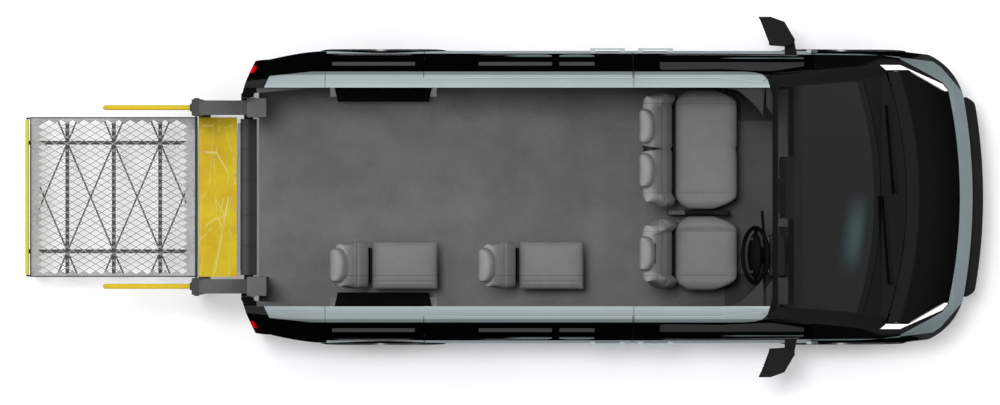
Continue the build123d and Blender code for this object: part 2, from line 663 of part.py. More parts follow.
def hood():
    """The hood's skin with the two lugs that it turns on."""
    lug = hood_lug()
    return join(common(wall(0, HOOD_WALL), hood_outline(0)), lug, mirrored(lug))


def fender():
    """Left front fender."""
    waist = [(x, station_height(x, 3)) for x in (FENDER_END_X, SCREEN_BASE_X, FRONT_DOOR_EDGE_X + 3)]
    door_edge = [(x + 3, z) for x, z in front_door_points(0)[1:5]]
    outline = [(FENDER_END_X, SILL_Z - 20), *waist, *reversed(door_edge), (door_edge[0][0], SILL_Z - 20)]
    skin = common(left_of(wall(0, BODY_WALL)), prism("y", outline, 700, SIDE_LIMIT))
    sliver = block(FRONT_AXLE_X + 300, FENDER_END_X + 10, 0, SIDE_LIMIT, 0, WHEEL_Z)
    reach = DOOR_BARREL_LENGTH / 2 + 1
    room = [block(HINGE_X - 5, HINGE_X + 15, HINGE_Y - 20, SIDE_LIMIT, z - reach, z + reach) for z in DOOR_HINGE_HEIGHTS]
    return join(cut(skin, arch_cutter(FRONT_AXLE_X, ARCH_RADIUS, 500), sliver, *room), *hinge_pins())


GRILLE_HALF_WIDTH = 650
GRILLE_LOW_Z = 290
GRILLE_HIGH_Z = 690
GRILLE_WALL = 30


def front_bumper():
    """The nose: the painted band under the hood and the bumper down to its lower lip."""
    skin = common(wall(0, BODY_WALL), block(FENDER_END_X, FRONT_X + 50, -SIDE_LIMIT, SIDE_LIMIT, 0, CROWN_Z))
    lamp = prism("z", LAMP_POINTS, 700, CROWN_Z)
    opening = block(FRONT_X - 250, FRONT_X + 50, -GRILLE_HALF_WIDTH, GRILLE_HALF_WIDTH, GRILLE_LOW_Z, GRILLE_HIGH_Z)
    under = block(FENDER_END_X - 10, FRONT_X - 260, -HALF_WIDTH + 140, HALF_WIDTH - 140, 0, 500)
    arches = arch_cutter(FRONT_AXLE_X, ARCH_RADIUS, 500)
    return cut(skin, cowl_block(), hood_outline(10), lamp, mirrored(lamp), opening, under, arches, mirrored(arches),
               headlamp_prism(0), mirrored(headlamp_prism(0)))


def headlamp_prism(gap):
    """The lower headlamp's opening at the left front corner."""
    return block(FRONT_X - 420 + gap, FRONT_X, 690 + gap, HALF_WIDTH - gap, 500 + gap, 640 - gap)


def headlamps():
    """Daylight strips beside the hood and the headlamps low in the corners."""
    strip = common(left_of(wall(0, 35)), prism("z", inset_polygon(list(reversed(DRL_POINTS)), SEAT_GAP)[::-1], 700, CROWN_Z))
    low = common(left_of(wall(6, BODY_WALL)), headlamp_prism(SEAT_GAP))
    return [strip, low, mirrored(strip), mirrored(low)]


def lamp_housings():
    """The dark housings round the daylight strips."""
    left = common(left_of(wall(0, BODY_WALL)), prism("z", inset_polygon(list(reversed(LAMP_POINTS)), SEAT_GAP)[::-1], 700, CROWN_Z))
    left = cut(left, prism("z", DRL_POINTS, 700, CROWN_Z), hood_outline(8))
    return [left, mirrored(left)]


def grille():
    """The dark lower grille: a curved shell with a field of openings."""
    def outline(inset):
        half = [(FRONT_X - 190 + inset, GRILLE_HALF_WIDTH - SEAT_GAP - inset),
                (FRONT_X - 67 - inset, GRILLE_HALF_WIDTH - SEAT_GAP - inset), (FRONT_X - 32 - inset, 468 - inset)]
        edges = [Edge.make_line((half[0][0], -half[0][1], 0), (*half[0], 0)),
                 Edge.make_line((*half[0], 0), (*half[1], 0)),
                 Edge.make_line((*half[1], 0), (*half[2], 0)),
                 Edge.make_three_point_arc((*half[2], 0), (FRONT_X - inset, 0, 0), (half[2][0], -half[2][1], 0)),
                 Edge.make_line((half[2][0], -half[2][1], 0), (half[1][0], -half[1][1], 0)),
                 Edge.make_line((half[1][0], -half[1][1], 0), (half[0][0], -half[0][1], 0))]
        return Face(Wire(edges))
    low, high = GRILLE_LOW_Z + SEAT_GAP, GRILLE_HIGH_Z - SEAT_GAP
    shell = Pos(0, 0, low) * Solid.extrude(outline(0), Vector(0, 0, high - low))
    inner = Pos(0, 0, low - 1) * Solid.extrude(outline(GRILLE_WALL), Vector(0, 0, high - low + 2))
    back = block(FRONT_X - 300, FRONT_X - 160, -560, 560, 0, 1000)
    shell = cut(shell, inner, back)
    rows, columns = 4, 12
    row_pitch = (high - low - 40) / rows
    column_pitch = 2 * (GRILLE_HALF_WIDTH - 130) / columns
    for row in range(rows):
        for column in range(columns):
            z = low + 20 + row_pitch * (row + 0.5)
            y = -GRILLE_HALF_WIDTH + 130 + column_pitch * (column + 0.5)
            shell = shell - block(FRONT_X - 120, FRONT_X + 10, y - column_pitch * 0.42, y + column_pitch * 0.42,
                                  z - row_pitch * 0.36, z + row_pitch * 0.36)
    return one(shell)


def rear_bumper():
    """The rear bumper below the floor, with a pad at each side of the step."""
    skin = common(wall(0, BODY_WALL), block(REAR_X - 50, REAR_X + BUMPER_DEPTH, -SIDE_LIMIT, SIDE_LIMIT, SILL_Z + 2, BUMPER_TOP_Z))
    under = block(REAR_X + BODY_WALL, REAR_X + 300, -HALF_WIDTH + 140, HALF_WIDTH - 140, 0, 400)
    guides = [block(REAR_X - 20, REAR_X + 30, *sorted((side * 667, side * 723)), BUMPER_TOP_Z - 60, BUMPER_TOP_Z - 2)
              for side in (-1, 1)]
    tow_hole = rod("x", (REAR_X, TOW_HOLE_Y, TOW_HOLE_Z), TOW_HOLE_RADIUS, 2 * BODY_WALL + 4)
    return cut(join(cut(skin, under), *guides), tow_hole)


TOW_HOLE_Y = -600
TOW_HOLE_Z = 400
TOW_HOLE_RADIUS = 9
STEP_HALF_WIDTH = 545
STEP_PROUD = 24
STEP_DEPTH = 90


def rear_step():
    """The ribbed step at the rear sill, with the edge strip that the bridge plate comes down beside."""
    top = FLOOR_Z - 12
    step = block(REAR_X - STEP_PROUD, REAR_X + STEP_DEPTH, -STEP_HALF_WIDTH, STEP_HALF_WIDTH, BUMPER_TOP_Z, top)
    for y in (-340, -125, 118, 333):
        for side in (-6, 6):
            step = step - block(REAR_X - STEP_PROUD - 1, REAR_X + STEP_DEPTH + 1, y + side - 2, y + side + 2, top - 4, top + 1)
    strip = rod("y", (REAR_X - STEP_PROUD - 9.8, 0, FLOOR_Z - 12), 9.5, 2 * STEP_HALF_WIDTH - 60)
    return [one(step), strip]


HOUSING_INNER_Y = 665
HOUSING_HALF_LENGTH = 400
HOUSING_WALL = 15
HOUSING_TOP_Z = 810


def wheel_housings():
    """Boxes over the rear wheels inside the load space."""
    def solid(inset, z0, z1):
        half_top, half_base = 316 - inset, HOUSING_HALF_LENGTH - inset
        points = [(REAR_AXLE_X - half_base, HALF_WIDTH), (REAR_AXLE_X - half_top, HOUSING_INNER_Y + inset),
                  (REAR_AXLE_X + half_top, HOUSING_INNER_Y + inset), (REAR_AXLE_X + half_base, HALF_WIDTH)]
        return prism("z", points, z0, z1)
    left = common(cut(solid(0, FLOOR_Z, HOUSING_TOP_Z), solid(HOUSING_WALL, 0, HOUSING_TOP_Z - HOUSING_WALL)), hull(BODY_WALL + SEAT_GAP))
    return [left, mirrored(left)]


FLOOR_REAR_X = REAR_X + 104
FIREWALL_X = FRONT_AXLE_X - 410
TONGUE_HALF_WIDTH = 540
TONGUE_FRONT_X = FRONT_AXLE_X - 190


def floor():
    """The load floor, notched for the rear wheels and running forward between the front ones."""
    slab = common(hull(BODY_WALL + SEAT_GAP), block(FLOOR_REAR_X, TONGUE_FRONT_X, -SIDE_LIMIT, SIDE_LIMIT,
                                                    FLOOR_Z - FLOOR_THICKNESS, FLOOR_Z))
    notch = block(REAR_AXLE_X - 372, REAR_AXLE_X + 372, 700, SIDE_LIMIT, 0, CROWN_Z)
    nose = block(FIREWALL_X, FRONT_X, TONGUE_HALF_WIDTH, SIDE_LIMIT, 0, CROWN_Z)
    return cut(slab, notch, mirrored(notch), nose, mirrored(nose))


DASH_TOP_Z = WAIST_Z + 70
DASH_HALF_WIDTH = 880


def firewall():
    """The bulkhead between cabin and engine bay, stepped forward between the wheels."""
    points = [(FIREWALL_X - 30, -DASH_HALF_WIDTH), (FIREWALL_X, -DASH_HALF_WIDTH), (FIREWALL_X, -TONGUE_HALF_WIDTH),
              (TONGUE_FRONT_X, -TONGUE_HALF_WIDTH), (TONGUE_FRONT_X, TONGUE_HALF_WIDTH), (FIREWALL_X, TONGUE_HALF_WIDTH),
              (FIREWALL_X, DASH_HALF_WIDTH), (FIREWALL_X - 30, DASH_HALF_WIDTH), (FIREWALL_X - 30, TONGUE_HALF_WIDTH - 30),
              (TONGUE_FRONT_X - 30, TONGUE_HALF_WIDTH - 30), (TONGUE_FRONT_X - 30, 30 - TONGUE_HALF_WIDTH),
              (FIREWALL_X - 30, 30 - TONGUE_HALF_WIDTH)]
    return prism("z", points, FLOOR_Z, DASH_TOP_Z - 250)


def dashboard():
    """The dashboard's moulding, resting on the firewall."""
    low = DASH_TOP_Z - 250
    points = [(FIREWALL_X - 25, low), (SCREEN_BASE_X - 330, low), (SCREEN_BASE_X - 250, DASH_TOP_Z - 60),
              (SCREEN_BASE_X - 250, DASH_TOP_Z), (FIREWALL_X + 60, DASH_TOP_Z), (FIREWALL_X - 10, DASH_TOP_Z - 50),
              (FIREWALL_X - 40, DASH_TOP_Z - 160)]
    binnacle = soft_block(STEERING_WHEEL_X + 92, FIREWALL_X, STEERING_WHEEL_Y - 146, STEERING_WHEEL_Y + 146,
                          DASH_TOP_Z - 110, DASH_TOP_Z + 40, 22)
    return join(prism("y", points, -DASH_HALF_WIDTH, DASH_HALF_WIDTH), binnacle)


def console():
    """The low box between driver's seat and bench, with the brake lever along its top."""
    y0, y1 = SEATS[0].left_y + 8, SEATS[1].right_y - 8
    low = soft_block(CONSOLE_REAR_X, CONSOLE_REAR_X + 140, y0, y1, FLOOR_Z, FLOOR_Z + 250, 6)
    tall = soft_block(CONSOLE_REAR_X + 120, CONSOLE_REAR_X + 430, y0, y1, FLOOR_Z, FLOOR_Z + 320, 6)
    lever = rod("x", (CONSOLE_REAR_X + 220, (y0 + y1) / 2, FLOOR_Z + 340), 9, 190)
    grip_end = rod("z", (CONSOLE_REAR_X + 300, (y0 + y1) / 2, FLOOR_Z + 325), 8, 30)
    return join(low, tall, lever, grip_end)


CONSOLE_REAR_X = 1140


def column_plane():
    """The steering wheel's own plane, square to the raked column."""
    axis = Vector(-cos(radians(COLUMN_RAKE)), 0, sin(radians(COLUMN_RAKE)))
    return Plane(origin=(STEERING_WHEEL_X, STEERING_WHEEL_Y, STEERING_WHEEL_Z), x_dir=(0, 1, 0), z_dir=axis)


def steering_column():
    """The column's shroud, its binnacle on the dashboard and its two long levers."""
    plane = column_plane()
    shroud = Solid.extrude((plane.offset(-230) * Rectangle(110, 90)).face(), plane.z_dir * 180)
    levers = [bar(tuple(plane.origin - plane.z_dir * 75 + Vector(0, side * 40, 0)),
                  tuple(plane.origin - plane.z_dir * 75 + Vector(-20, side * 310, 10)), 16, 12) for side in (-1, 1)]
    return cut(join(shroud, *levers), dashboard())


def steering_wheel():
    """Rim, three spokes and hub."""
    rim = Torus(STEERING_WHEEL_RADIUS - STEERING_RIM_RADIUS, STEERING_RIM_RADIUS)
    hub = Pos(0, 0, -14) * Cylinder(62, 44)
    spokes = [Rot(0, 0, angle) * Pos(STEERING_WHEEL_RADIUS / 2, 0, -6) * Box(STEERING_WHEEL_RADIUS - 24, 34, 14)
              for angle in (0, 180, 270)]
    shaft = Pos(0, 0, -41) * Cylinder(18, 16)
    return column_plane().location * join(rim, hub, *spokes, shaft)


def seat_cushions():
    made = []
    for seat in SEATS:
        made.append(soft_block(seat.rear_x, seat.front_x, seat.right_y, seat.left_y,
                               SEAT_TOP_Z - CUSHION_THICKNESS, SEAT_TOP_Z, 28))
    return made


def reclined(seat, shape):
    """A shape drawn from the backrest's foot, put in place and leant back."""
    return Pos(seat.rear_x - BACK_GAP, 0, SEAT_TOP_Z - 60) * Rot(0, -seat.recline, 0) * shape


def seat_backs():
    """Backrests, leaning back from the cushions' rear edges."""
    made = []
    for seat in SEATS:
        back = block(-115, 0, seat.right_y + seat.margin, seat.left_y - seat.margin, 0, BACK_HEIGHT)
        made.append(reclined(seat, one(fillet(back.edges(), 26))))
    return made


def headrests():
    """Headrests on their posts, one over each place."""
    made = []
    for seat in SEATS:
        for offset in seat.pad_offsets:
            middle = (seat.left_y + seat.right_y) / 2 + offset
            half = seat.pad_width / 2
            pad = one(fillet(block(-95, -10, middle - half, middle + half, BACK_HEIGHT + 20,
                                   BACK_HEIGHT + HEADREST_HEIGHT).edges(), 24))
            posts = [rod("z", (-55, middle + side * half * 0.5, BACK_HEIGHT + 13), 6, 26) for side in (-1, 1)]
            made.append(reclined(seat, join(pad, *posts)))
    return made


def seat_bases():
    """Pedestals on the floor, each with the bracket that carries the backrest."""
    made = []
    for seat in SEATS:
        top = SEAT_TOP_Z - CUSHION_THICKNESS
        low_y, high_y = seat.right_y + 50, seat.left_y - 50
        pedestal = block(seat.rear_x + 30, seat.front_x - 70, low_y, high_y, FLOOR_Z, top)
        plate = block(seat.rear_x - 130, seat.rear_x + 60, low_y, high_y, top - 30, top)
        bracket = reclined(seat, block(-100, -30, low_y, high_y, -85, -SEAT_GAP))
        made.append(join(pedestal, plate, bracket))
    return made


RAIL_Y = 450
RAIL_HALF_WIDTH = 38
RAIL_LOW_Z = 400


def chassis():
    """Two long rails with cross-members, under the floor and round the engine."""
    rails = [block(REAR_X + 110, FRONT_X - 200, side * RAIL_Y - RAIL_HALF_WIDTH, side * RAIL_Y + RAIL_HALF_WIDTH,
                   RAIL_LOW_Z, FLOOR_Z - FLOOR_THICKNESS) for side in (-1, 1)]
    crossings = [block(x - 40, x + 40, -RAIL_Y, RAIL_Y, RAIL_LOW_Z, FLOOR_Z - FLOOR_THICKNESS)
                 for x in (REAR_X + 160, REAR_AXLE_X + 500, REAR_AXLE_X + 1300, FIREWALL_X - 60, FRONT_X - 260)]
    outriggers = [block(x - 35, x + 35, -HALF_WIDTH + 150, HALF_WIDTH - 150, RAIL_LOW_Z + 40, FLOOR_Z - FLOOR_THICKNESS)
                  for x in (REAR_AXLE_X + 620, DOOR_SPLIT_X)]
    return join(*rails, *crossings, *outriggers)


def engine():
    """One plain block with the two arms that it hangs from, between the chassis rails."""
    arm_reach = RAIL_Y - RAIL_HALF_WIDTH
    return join(block(FRONT_AXLE_X - 130, FRONT_AXLE_X + 380, -340, 340, 320, 810),
                block(FRONT_AXLE_X + 80, FRONT_AXLE_X + 160, -arm_reach, arm_reach, 430, 500))


def rear_axle():
    """The rear axle's tube with its stub axles and brake discs."""
    tube = rod("y", (REAR_AXLE_X, 0, WHEEL_Z), 42, 2 * (WHEEL_Y - 70))
    stubs = rod("y", (REAR_AXLE_X, 0, WHEEL_Z), STUB_RADIUS, 2 * (WHEEL_Y + 20))
    discs = [rod("y", (REAR_AXLE_X, side * (WHEEL_Y - 62), WHEEL_Z), 150, 22) for side in (-1, 1)]
    links = [block(REAR_AXLE_X - 60, REAR_AXLE_X + 60, side * RAIL_Y - 30, side * RAIL_Y + 30, WHEEL_Z - 30, RAIL_LOW_Z)
             for side in (-1, 1)]
    return join(tube, stubs, *discs, *links)


KNUCKLE_PIN_RADIUS = 14
KNUCKLE_TOP_Z = WHEEL_Z + 120
KNUCKLE_LOW_Z = WHEEL_Z - 120


def front_suspension():
    """Lower arms, a cross-member and the strut towers that carry the steering knuckles."""
    beam = block(FRONT_AXLE_X - 60, FRONT_AXLE_X + 60, -RAIL_Y - 60, RAIL_Y + 60, KNUCKLE_LOW_Z - 22, KNUCKLE_LOW_Z + 20)
    mount_y = RAIL_Y + RAIL_HALF_WIDTH + 25
    uprights = [block(FRONT_AXLE_X - 40, FRONT_AXLE_X + 40, side * mount_y - 25, side * mount_y + 25,
                      KNUCKLE_LOW_Z - 22, KNUCKLE_TOP_Z + 22) for side in (-1, 1)]
    arms = [bar((FRONT_AXLE_X, side * mount_y, z), (FRONT_AXLE_X, side * KINGPIN_Y, z), 44, 28, (1, 0, 0))
            for side in (-1, 1) for z in (KNUCKLE_LOW_Z - 8, KNUCKLE_TOP_Z + 8)]
    arms += [rod("z", (FRONT_AXLE_X, side * KINGPIN_Y, z), 22, 28)
             for side in (-1, 1) for z in (KNUCKLE_LOW_Z - 8, KNUCKLE_TOP_Z + 8)]
    frame = join(beam, *uprights, *arms)
    pins = [rod("z", (FRONT_AXLE_X, side * KINGPIN_Y, z), KNUCKLE_PIN_RADIUS, 40) for side in (-1, 1)
            for z in (KNUCKLE_LOW_Z, KNUCKLE_TOP_Z)]
    return join(frame, *pins)


def knuckle():
    """Left steering knuckle with its stub axle and brake disc."""
    post = rod("z", (FRONT_AXLE_X, KINGPIN_Y, WHEEL_Z), 32, KNUCKLE_TOP_Z - KNUCKLE_LOW_Z - 14)
    stub = rod("y", (FRONT_AXLE_X, (KINGPIN_Y + WHEEL_Y + 20) / 2, WHEEL_Z), STUB_RADIUS, WHEEL_Y + 20 - KINGPIN_Y)
    disc = rod("y", (FRONT_AXLE_X, KINGPIN_Y + 42, WHEEL_Z), 150, 16)
    bores = [rod("z", (FRONT_AXLE_X, KINGPIN_Y, z), KNUCKLE_PIN_RADIUS + SEAT_GAP, 62) for z in (KNUCKLE_LOW_Z, KNUCKLE_TOP_Z)]
    return cut(join(post, stub, disc), *bores)


def wheel_pieces(axle_x, side):
    """Tyre and rim of one wheel; side is 1 on the left and -1 on the right."""
    half = TYRE_WIDTH / 2
    tyre_face = Face(Wire.make_polygon([(RIM_RADIUS, -half + 12, 0), (RIM_RADIUS + 30, -half, 0),
                                        (TYRE_RADIUS - 45, -half - 3, 0), (TYRE_RADIUS - 12, -half + 14, 0),
                                        (TYRE_RADIUS, -half + 40, 0), (TYRE_RADIUS, half - 40, 0),
                                        (TYRE_RADIUS - 12, half - 14, 0), (TYRE_RADIUS - 45, half + 3, 0),
                                        (RIM_RADIUS + 30, half, 0), (RIM_RADIUS, half - 12, 0)], close=True))
    tyre = Solid.revolve(tyre_face, 360, Axis.Y)
    rim_half = RIM_WIDTH / 2
    rim_r = RIM_RADIUS - SEAT_GAP
    rim_face = Face(Wire.make_polygon([(rim_r, -rim_half, 0), (rim_r, rim_half, 0), (rim_r - 14, rim_half, 0),
                                       (rim_r - 24, rim_half - 22, 0), (rim_r - 24, -rim_half + 10, 0),
                                       (rim_r - 14, -rim_half, 0)], close=True))
    barrel = Solid.revolve(rim_face, 360, Axis.Y)
    hub = rod("y", (0, 22, 0), HUB_RADIUS, 60)
    spokes = []
    for index in range(SPOKE_COUNT):
        for lean in (-11, 11):
            spoke = prism("y", [(-15, 40), (15, 40), (11, rim_r - 18), (-11, rim_r - 18)], 28, 56)
            spokes.append(Rot(0, 360 / SPOKE_COUNT * index + lean, 0) * spoke)
    bore = rod("y", (0, 0, 0), STUB_RADIUS + STUB_CLEARANCE, 60)
    rim = cut(join(barrel, hub, *spokes), bore)
    place = Pos(axle_x, WHEEL_Y, WHEEL_Z)
    tyre, rim = place * tyre, place * rim
    return (tyre, rim) if side > 0 else (mirrored(tyre), mirrored(rim))


def arch_flares():
    """Dark trims round the four arches, standing proud of the panels."""
    made = []
    for axle_x in (FRONT_AXLE_X, REAR_AXLE_X):
        ring = cut(rod("y", (axle_x, 960, WHEEL_Z), ARCH_RADIUS + FLARE_WIDTH, 160),
                   rod("y", (axle_x, 960, WHEEL_Z), ARCH_RADIUS - 6, 200))
        skin = cut(common(hull(-FLARE_PROUD), ring), hull(-SEAT_GAP), block(REAR_X, FRONT_X, 0, SIDE_LIMIT, 0, SILL_Z + 60))
        made.append(skin)
    return made + [mirrored(s) for s in made]


def mirror_left():
    """Left door mirror: head and arm."""
    head_points = [(1769, 1251), (1849, 1251), (1946, 1216), (2019, 1091), (2013, 1066), (1953, 1046), (1845, 1053)]
    head = prism("z", [(x + FRONT_AXLE_X - 2370, y) for x, y in head_points], WAIST_Z + 5, WAIST_Z + 205)
    arm = prism("z", [(x + FRONT_AXLE_X - 2370, y) for x, y in [(1950, 950), (2043, 950), (2015, 1090), (1950, 1090)]],
                WAIST_Z + 5, WAIST_Z + 45)
    return cut(join(head, arm), hull(-SEAT_GAP))


# The lift

def lift_towers():
    """Two posts on the floor, open to the rear, that the arms turn in."""
    made = []
    for side in (-1, 1):
        y0, y1 = sorted((side * TOWER_INNER_Y, side * (TOWER_INNER_Y + TOWER_WIDTH)))
        x0 = PIVOT_X - 34
        x1 = x0 + TOWER_DEPTH
        post = block(x0, x1, y0, y1, FLOOR_Z, FLOOR_Z + TOWER_HEIGHT)
        hollow = block(x0 - 1, x1 - TOWER_WALL, y0 + TOWER_WALL, y1 - TOWER_WALL, FLOOR_Z + 12, FLOOR_Z + TOWER_HEIGHT - 10)
        pins = [rod("y", (PIVOT_X, (y0 + y1) / 2, z), PIN_RADIUS, TOWER_WIDTH - TOWER_WALL) for z in (UPPER_PIVOT_Z, LOWER_PIVOT_Z)]
        made.append(join(cut(post, hollow), *pins))
    return made


def lift_arms(pivot_z):
    """A pair of arms from the towers to the carriage, at their raised rest angle."""
    made = []
    for side in (-1, 1):
        y = side * (TOWER_INNER_Y + TOWER_WIDTH / 2)
        start = (PIVOT_X, y, pivot_z)
        end = (CARRIAGE_PIVOT_X, y, pivot_z + ARM_RISE)
        middle = bar(start, end, ARM_WIDTH, ARM_DEPTH)
        ends = [rod("y", p, ARM_DEPTH / 2, ARM_WIDTH) for p in (start, end)]
        bores = [rod("y", p, PIN_RADIUS + SEAT_GAP, ARM_WIDTH + 10) for p in (start, end)]
        made.append(cut(join(middle, *ends), *bores))
    return made


CARRIAGE_REACH = 33
CARRIAGE_CAP = 13
CARRIAGE_TOP_Z = UPPER_PIVOT_Z + ARM_RISE + 45


def lift_carriage():
    """Two upright arms joined by a cross-beam; it carries platform, bridge plate and handrails."""
    beam = block(BRIDGE_X, BRIDGE_X + 84, -UPRIGHT_INNER_Y - 10, UPRIGHT_INNER_Y + 10, FLOOR_Z - 60, FLOOR_Z - 24)
    uprights = []
    for side in (-1, 1):
        y0, y1 = sorted((side * UPRIGHT_INNER_Y, side * (TOWER_INNER_Y + TOWER_WIDTH - 8)))
        x0, x1 = CARRIAGE_PIVOT_X - CARRIAGE_REACH, CARRIAGE_PIVOT_X + 40
        post = block(x0, x1, y0, y1, FLOOR_Z - 60, CARRIAGE_TOP_Z)
        middle = side * (TOWER_INNER_Y + TOWER_WIDTH / 2)
        slot = block(x0 + 6, x1 + 1, middle - ARM_WIDTH / 2 - 1, middle + ARM_WIDTH / 2 + 1, FLOOR_Z + 300,
                     CARRIAGE_TOP_Z - 4)
        notch = block(CARRIAGE_PIVOT_X + CARRIAGE_CAP, x1 + 1, middle - ARM_WIDTH / 2 - 1, middle + ARM_WIDTH / 2 + 1,
                      CARRIAGE_TOP_Z - 20, CARRIAGE_TOP_Z + 1)
        pins = [rod("y", (CARRIAGE_PIVOT_X, (y0 + y1) / 2, z + ARM_RISE), PIN_RADIUS, y1 - y0 - 4)
                for z in (UPPER_PIVOT_Z, LOWER_PIVOT_Z)]
        uprights.append(join(cut(post, slot, notch), *pins))
    rods = [rod("y", (PLATFORM_HINGE_X, 0, PLATFORM_HINGE_Z), PLATFORM_ROD_RADIUS, 2 * UPRIGHT_INNER_Y + 4),
            rod("y", (BRIDGE_HINGE_X, 0, BRIDGE_HINGE_Z), BRIDGE_ROD_RADIUS, 2 * UPRIGHT_INNER_Y + 4)]
    return join(beam, *uprights, *rods)


def handrails():
    """A looped tube on each side of the platform."""
    x0 = CARRIAGE_PIVOT_X - CARRIAGE_REACH
    z1 = CARRIAGE_TOP_Z - 70
    z0 = z1 - HANDRAIL_DROP
    made = []
    for side in (-1, 1):
        y = side * (TOWER_INNER_Y + TOWER_WIDTH / 2)
        path = FilletPolyline((x0, y, z1), (x0 - HANDRAIL_LENGTH, y, z1), (x0 - HANDRAIL_LENGTH, y, z0), (x0, y, z0), radius=70)
        section = Plane(origin=(x0, y, z1), z_dir=(-1, 0, 0)) * Circle(HANDRAIL_RADIUS)
        made.append(one(sweep(section, path)))
    return made


ROLL_STOP_HINGE_X = PLATFORM_END_X - ROLL_STOP_GAP - ROLL_STOP_THICKNESS / 2
ROLL_STOP_HINGE_Z = PLATFORM_Z - PLATFORM_DEPTH + 11
ROLL_STOP_PIN_RADIUS = 5
RUNNER_Y = 379
BRACE_START = 99
BRACE_RUN = 162


def platform_frame():
    """The platform's tray: side plates, ends, cross bars and the bracing under the mesh."""
    x0, x1 = PLATFORM_END_X, PLATFORM_HINGE_X
    low, top = PLATFORM_Z - PLATFORM_DEPTH, PLATFORM_Z - MESH_THICKNESS
    barrel = rod("y", (x1, 0, PLATFORM_HINGE_Z), PLATFORM_BARREL_RADIUS, 2 * PLATFORM_HALF_WIDTH)
    bore = rod("y", (x1, 0, PLATFORM_HINGE_Z), PLATFORM_ROD_RADIUS + SEAT_GAP, 2 * PLATFORM_HALF_WIDTH + 2)
    rim = cut(block(x0, x1, -PLATFORM_HALF_WIDTH, PLATFORM_HALF_WIDTH, low, PLATFORM_Z),
              block(x0 + PLATFORM_RIM, x1 - PLATFORM_RIM, -PLATFORM_HALF_WIDTH + PLATFORM_RIM,
                    PLATFORM_HALF_WIDTH - PLATFORM_RIM, low - 1, PLATFORM_Z + 1))
    bars = [block(x - 9, x + 9, -PLATFORM_HALF_WIDTH + 2, PLATFORM_HALF_WIDTH - 2, low + 10, top)
            for x in (x0 + BRACE_START + BRACE_RUN + 2 * BRACE_RUN * i for i in range(3))]
    runners = [block(x0 + 2, x1 - 2, side * RUNNER_Y - 9, side * RUNNER_Y + 9, low + 10, top) for side in (-1, 1)]
    half = PLATFORM_HALF_WIDTH - 2
    reach = BRACE_RUN * half / RUNNER_Y
    room = block(x0 + 2, x1 - PLATFORM_RIM, -half, half, low, top)
    braces = [common(bar((x - reach, -side * half, low + 25), (x + reach, side * half, low + 25), 24, 12, (0, 0, 1)), room)
              for x in (x0 + BRACE_START + 2 * BRACE_RUN * i for i in range(4)) for side in (-1, 1)]
    lug_y = (ROLL_STOP_HALF_WIDTH + PLATFORM_HALF_WIDTH) / 2
    lugs = [block(ROLL_STOP_HINGE_X - 9, x0 + 2, side * lug_y - 6, side * lug_y + 6, low, low + 22) for side in (-1, 1)]
    pins = [rod("y", (ROLL_STOP_HINGE_X, side * (lug_y - 12), ROLL_STOP_HINGE_Z), ROLL_STOP_PIN_RADIUS, 36)
            for side in (-1, 1)]
    tray = join(rim, *bars, *runners, *braces, *lugs, *pins, cut(barrel, block(x1 - 20, x1, -SIDE_LIMIT, SIDE_LIMIT, 0, PLATFORM_Z)))
    return cut(tray, bore)


def platform_mesh():
    """The expanded-metal deck: one sheet with staggered diamond openings."""
    x0, x1 = PLATFORM_END_X + PLATFORM_RIM + SEAT_GAP, PLATFORM_HINGE_X - PLATFORM_RIM - SEAT_GAP
    half = PLATFORM_HALF_WIDTH - PLATFORM_RIM - SEAT_GAP
    outline = Wire.make_polygon([(x0, -half, 0), (x1, -half, 0), (x1, half, 0), (x0, half, 0)], close=True)
    long_half, short_half = (MESH_PITCH_X - STRAND_WIDTH * 1.9) / 2, (MESH_PITCH_Y - STRAND_WIDTH * 1.1) / 2
    columns = int((x1 - x0 - 12) / MESH_PITCH_X)
    rows = int((2 * half - 12) / (MESH_PITCH_Y / 2)) - 1
    start_x = (x0 + x1) / 2 - MESH_PITCH_X * (columns - 1) / 2
    start_y = -MESH_PITCH_Y / 2 * (rows - 1) / 2
    holes = []
    for row in range(rows):
        shift = MESH_PITCH_X / 2 if row % 2 else 0
        for column in range(columns - (row % 2)):
            x = start_x + MESH_PITCH_X * column + shift
            y = start_y + MESH_PITCH_Y / 2 * row
            holes.append(Wire.make_polygon([(x - long_half, y, 0), (x, y - short_half, 0), (x + long_half, y, 0),
                                            (x, y + short_half, 0)], close=True))
    sheet = Solid.extrude(Face(outline, holes), Vector(0, 0, MESH_THICKNESS))
    return Pos(0, 0, PLATFORM_Z - MESH_THICKNESS) * sheet


def bridge_plate():
    """The plate from the platform to the rear step, with its hinge barrel."""
    x1 = REAR_X - STEP_PROUD - 19.3 - LIFT_GAP
    plate = block(BRIDGE_HINGE_X, x1, -BRIDGE_HALF_WIDTH, BRIDGE_HALF_WIDTH, FLOOR_Z - BRIDGE_THICKNESS, FLOOR_Z)
    barrel = rod("y", (BRIDGE_HINGE_X, 0, BRIDGE_HINGE_Z), BRIDGE_BARREL_RADIUS, 2 * BRIDGE_HALF_WIDTH)
    bore = rod("y", (BRIDGE_HINGE_X, 0, BRIDGE_HINGE_Z), BRIDGE_ROD_RADIUS + SEAT_GAP, 2 * BRIDGE_HALF_WIDTH + 2)
    return cut(join(plate, barrel), bore)


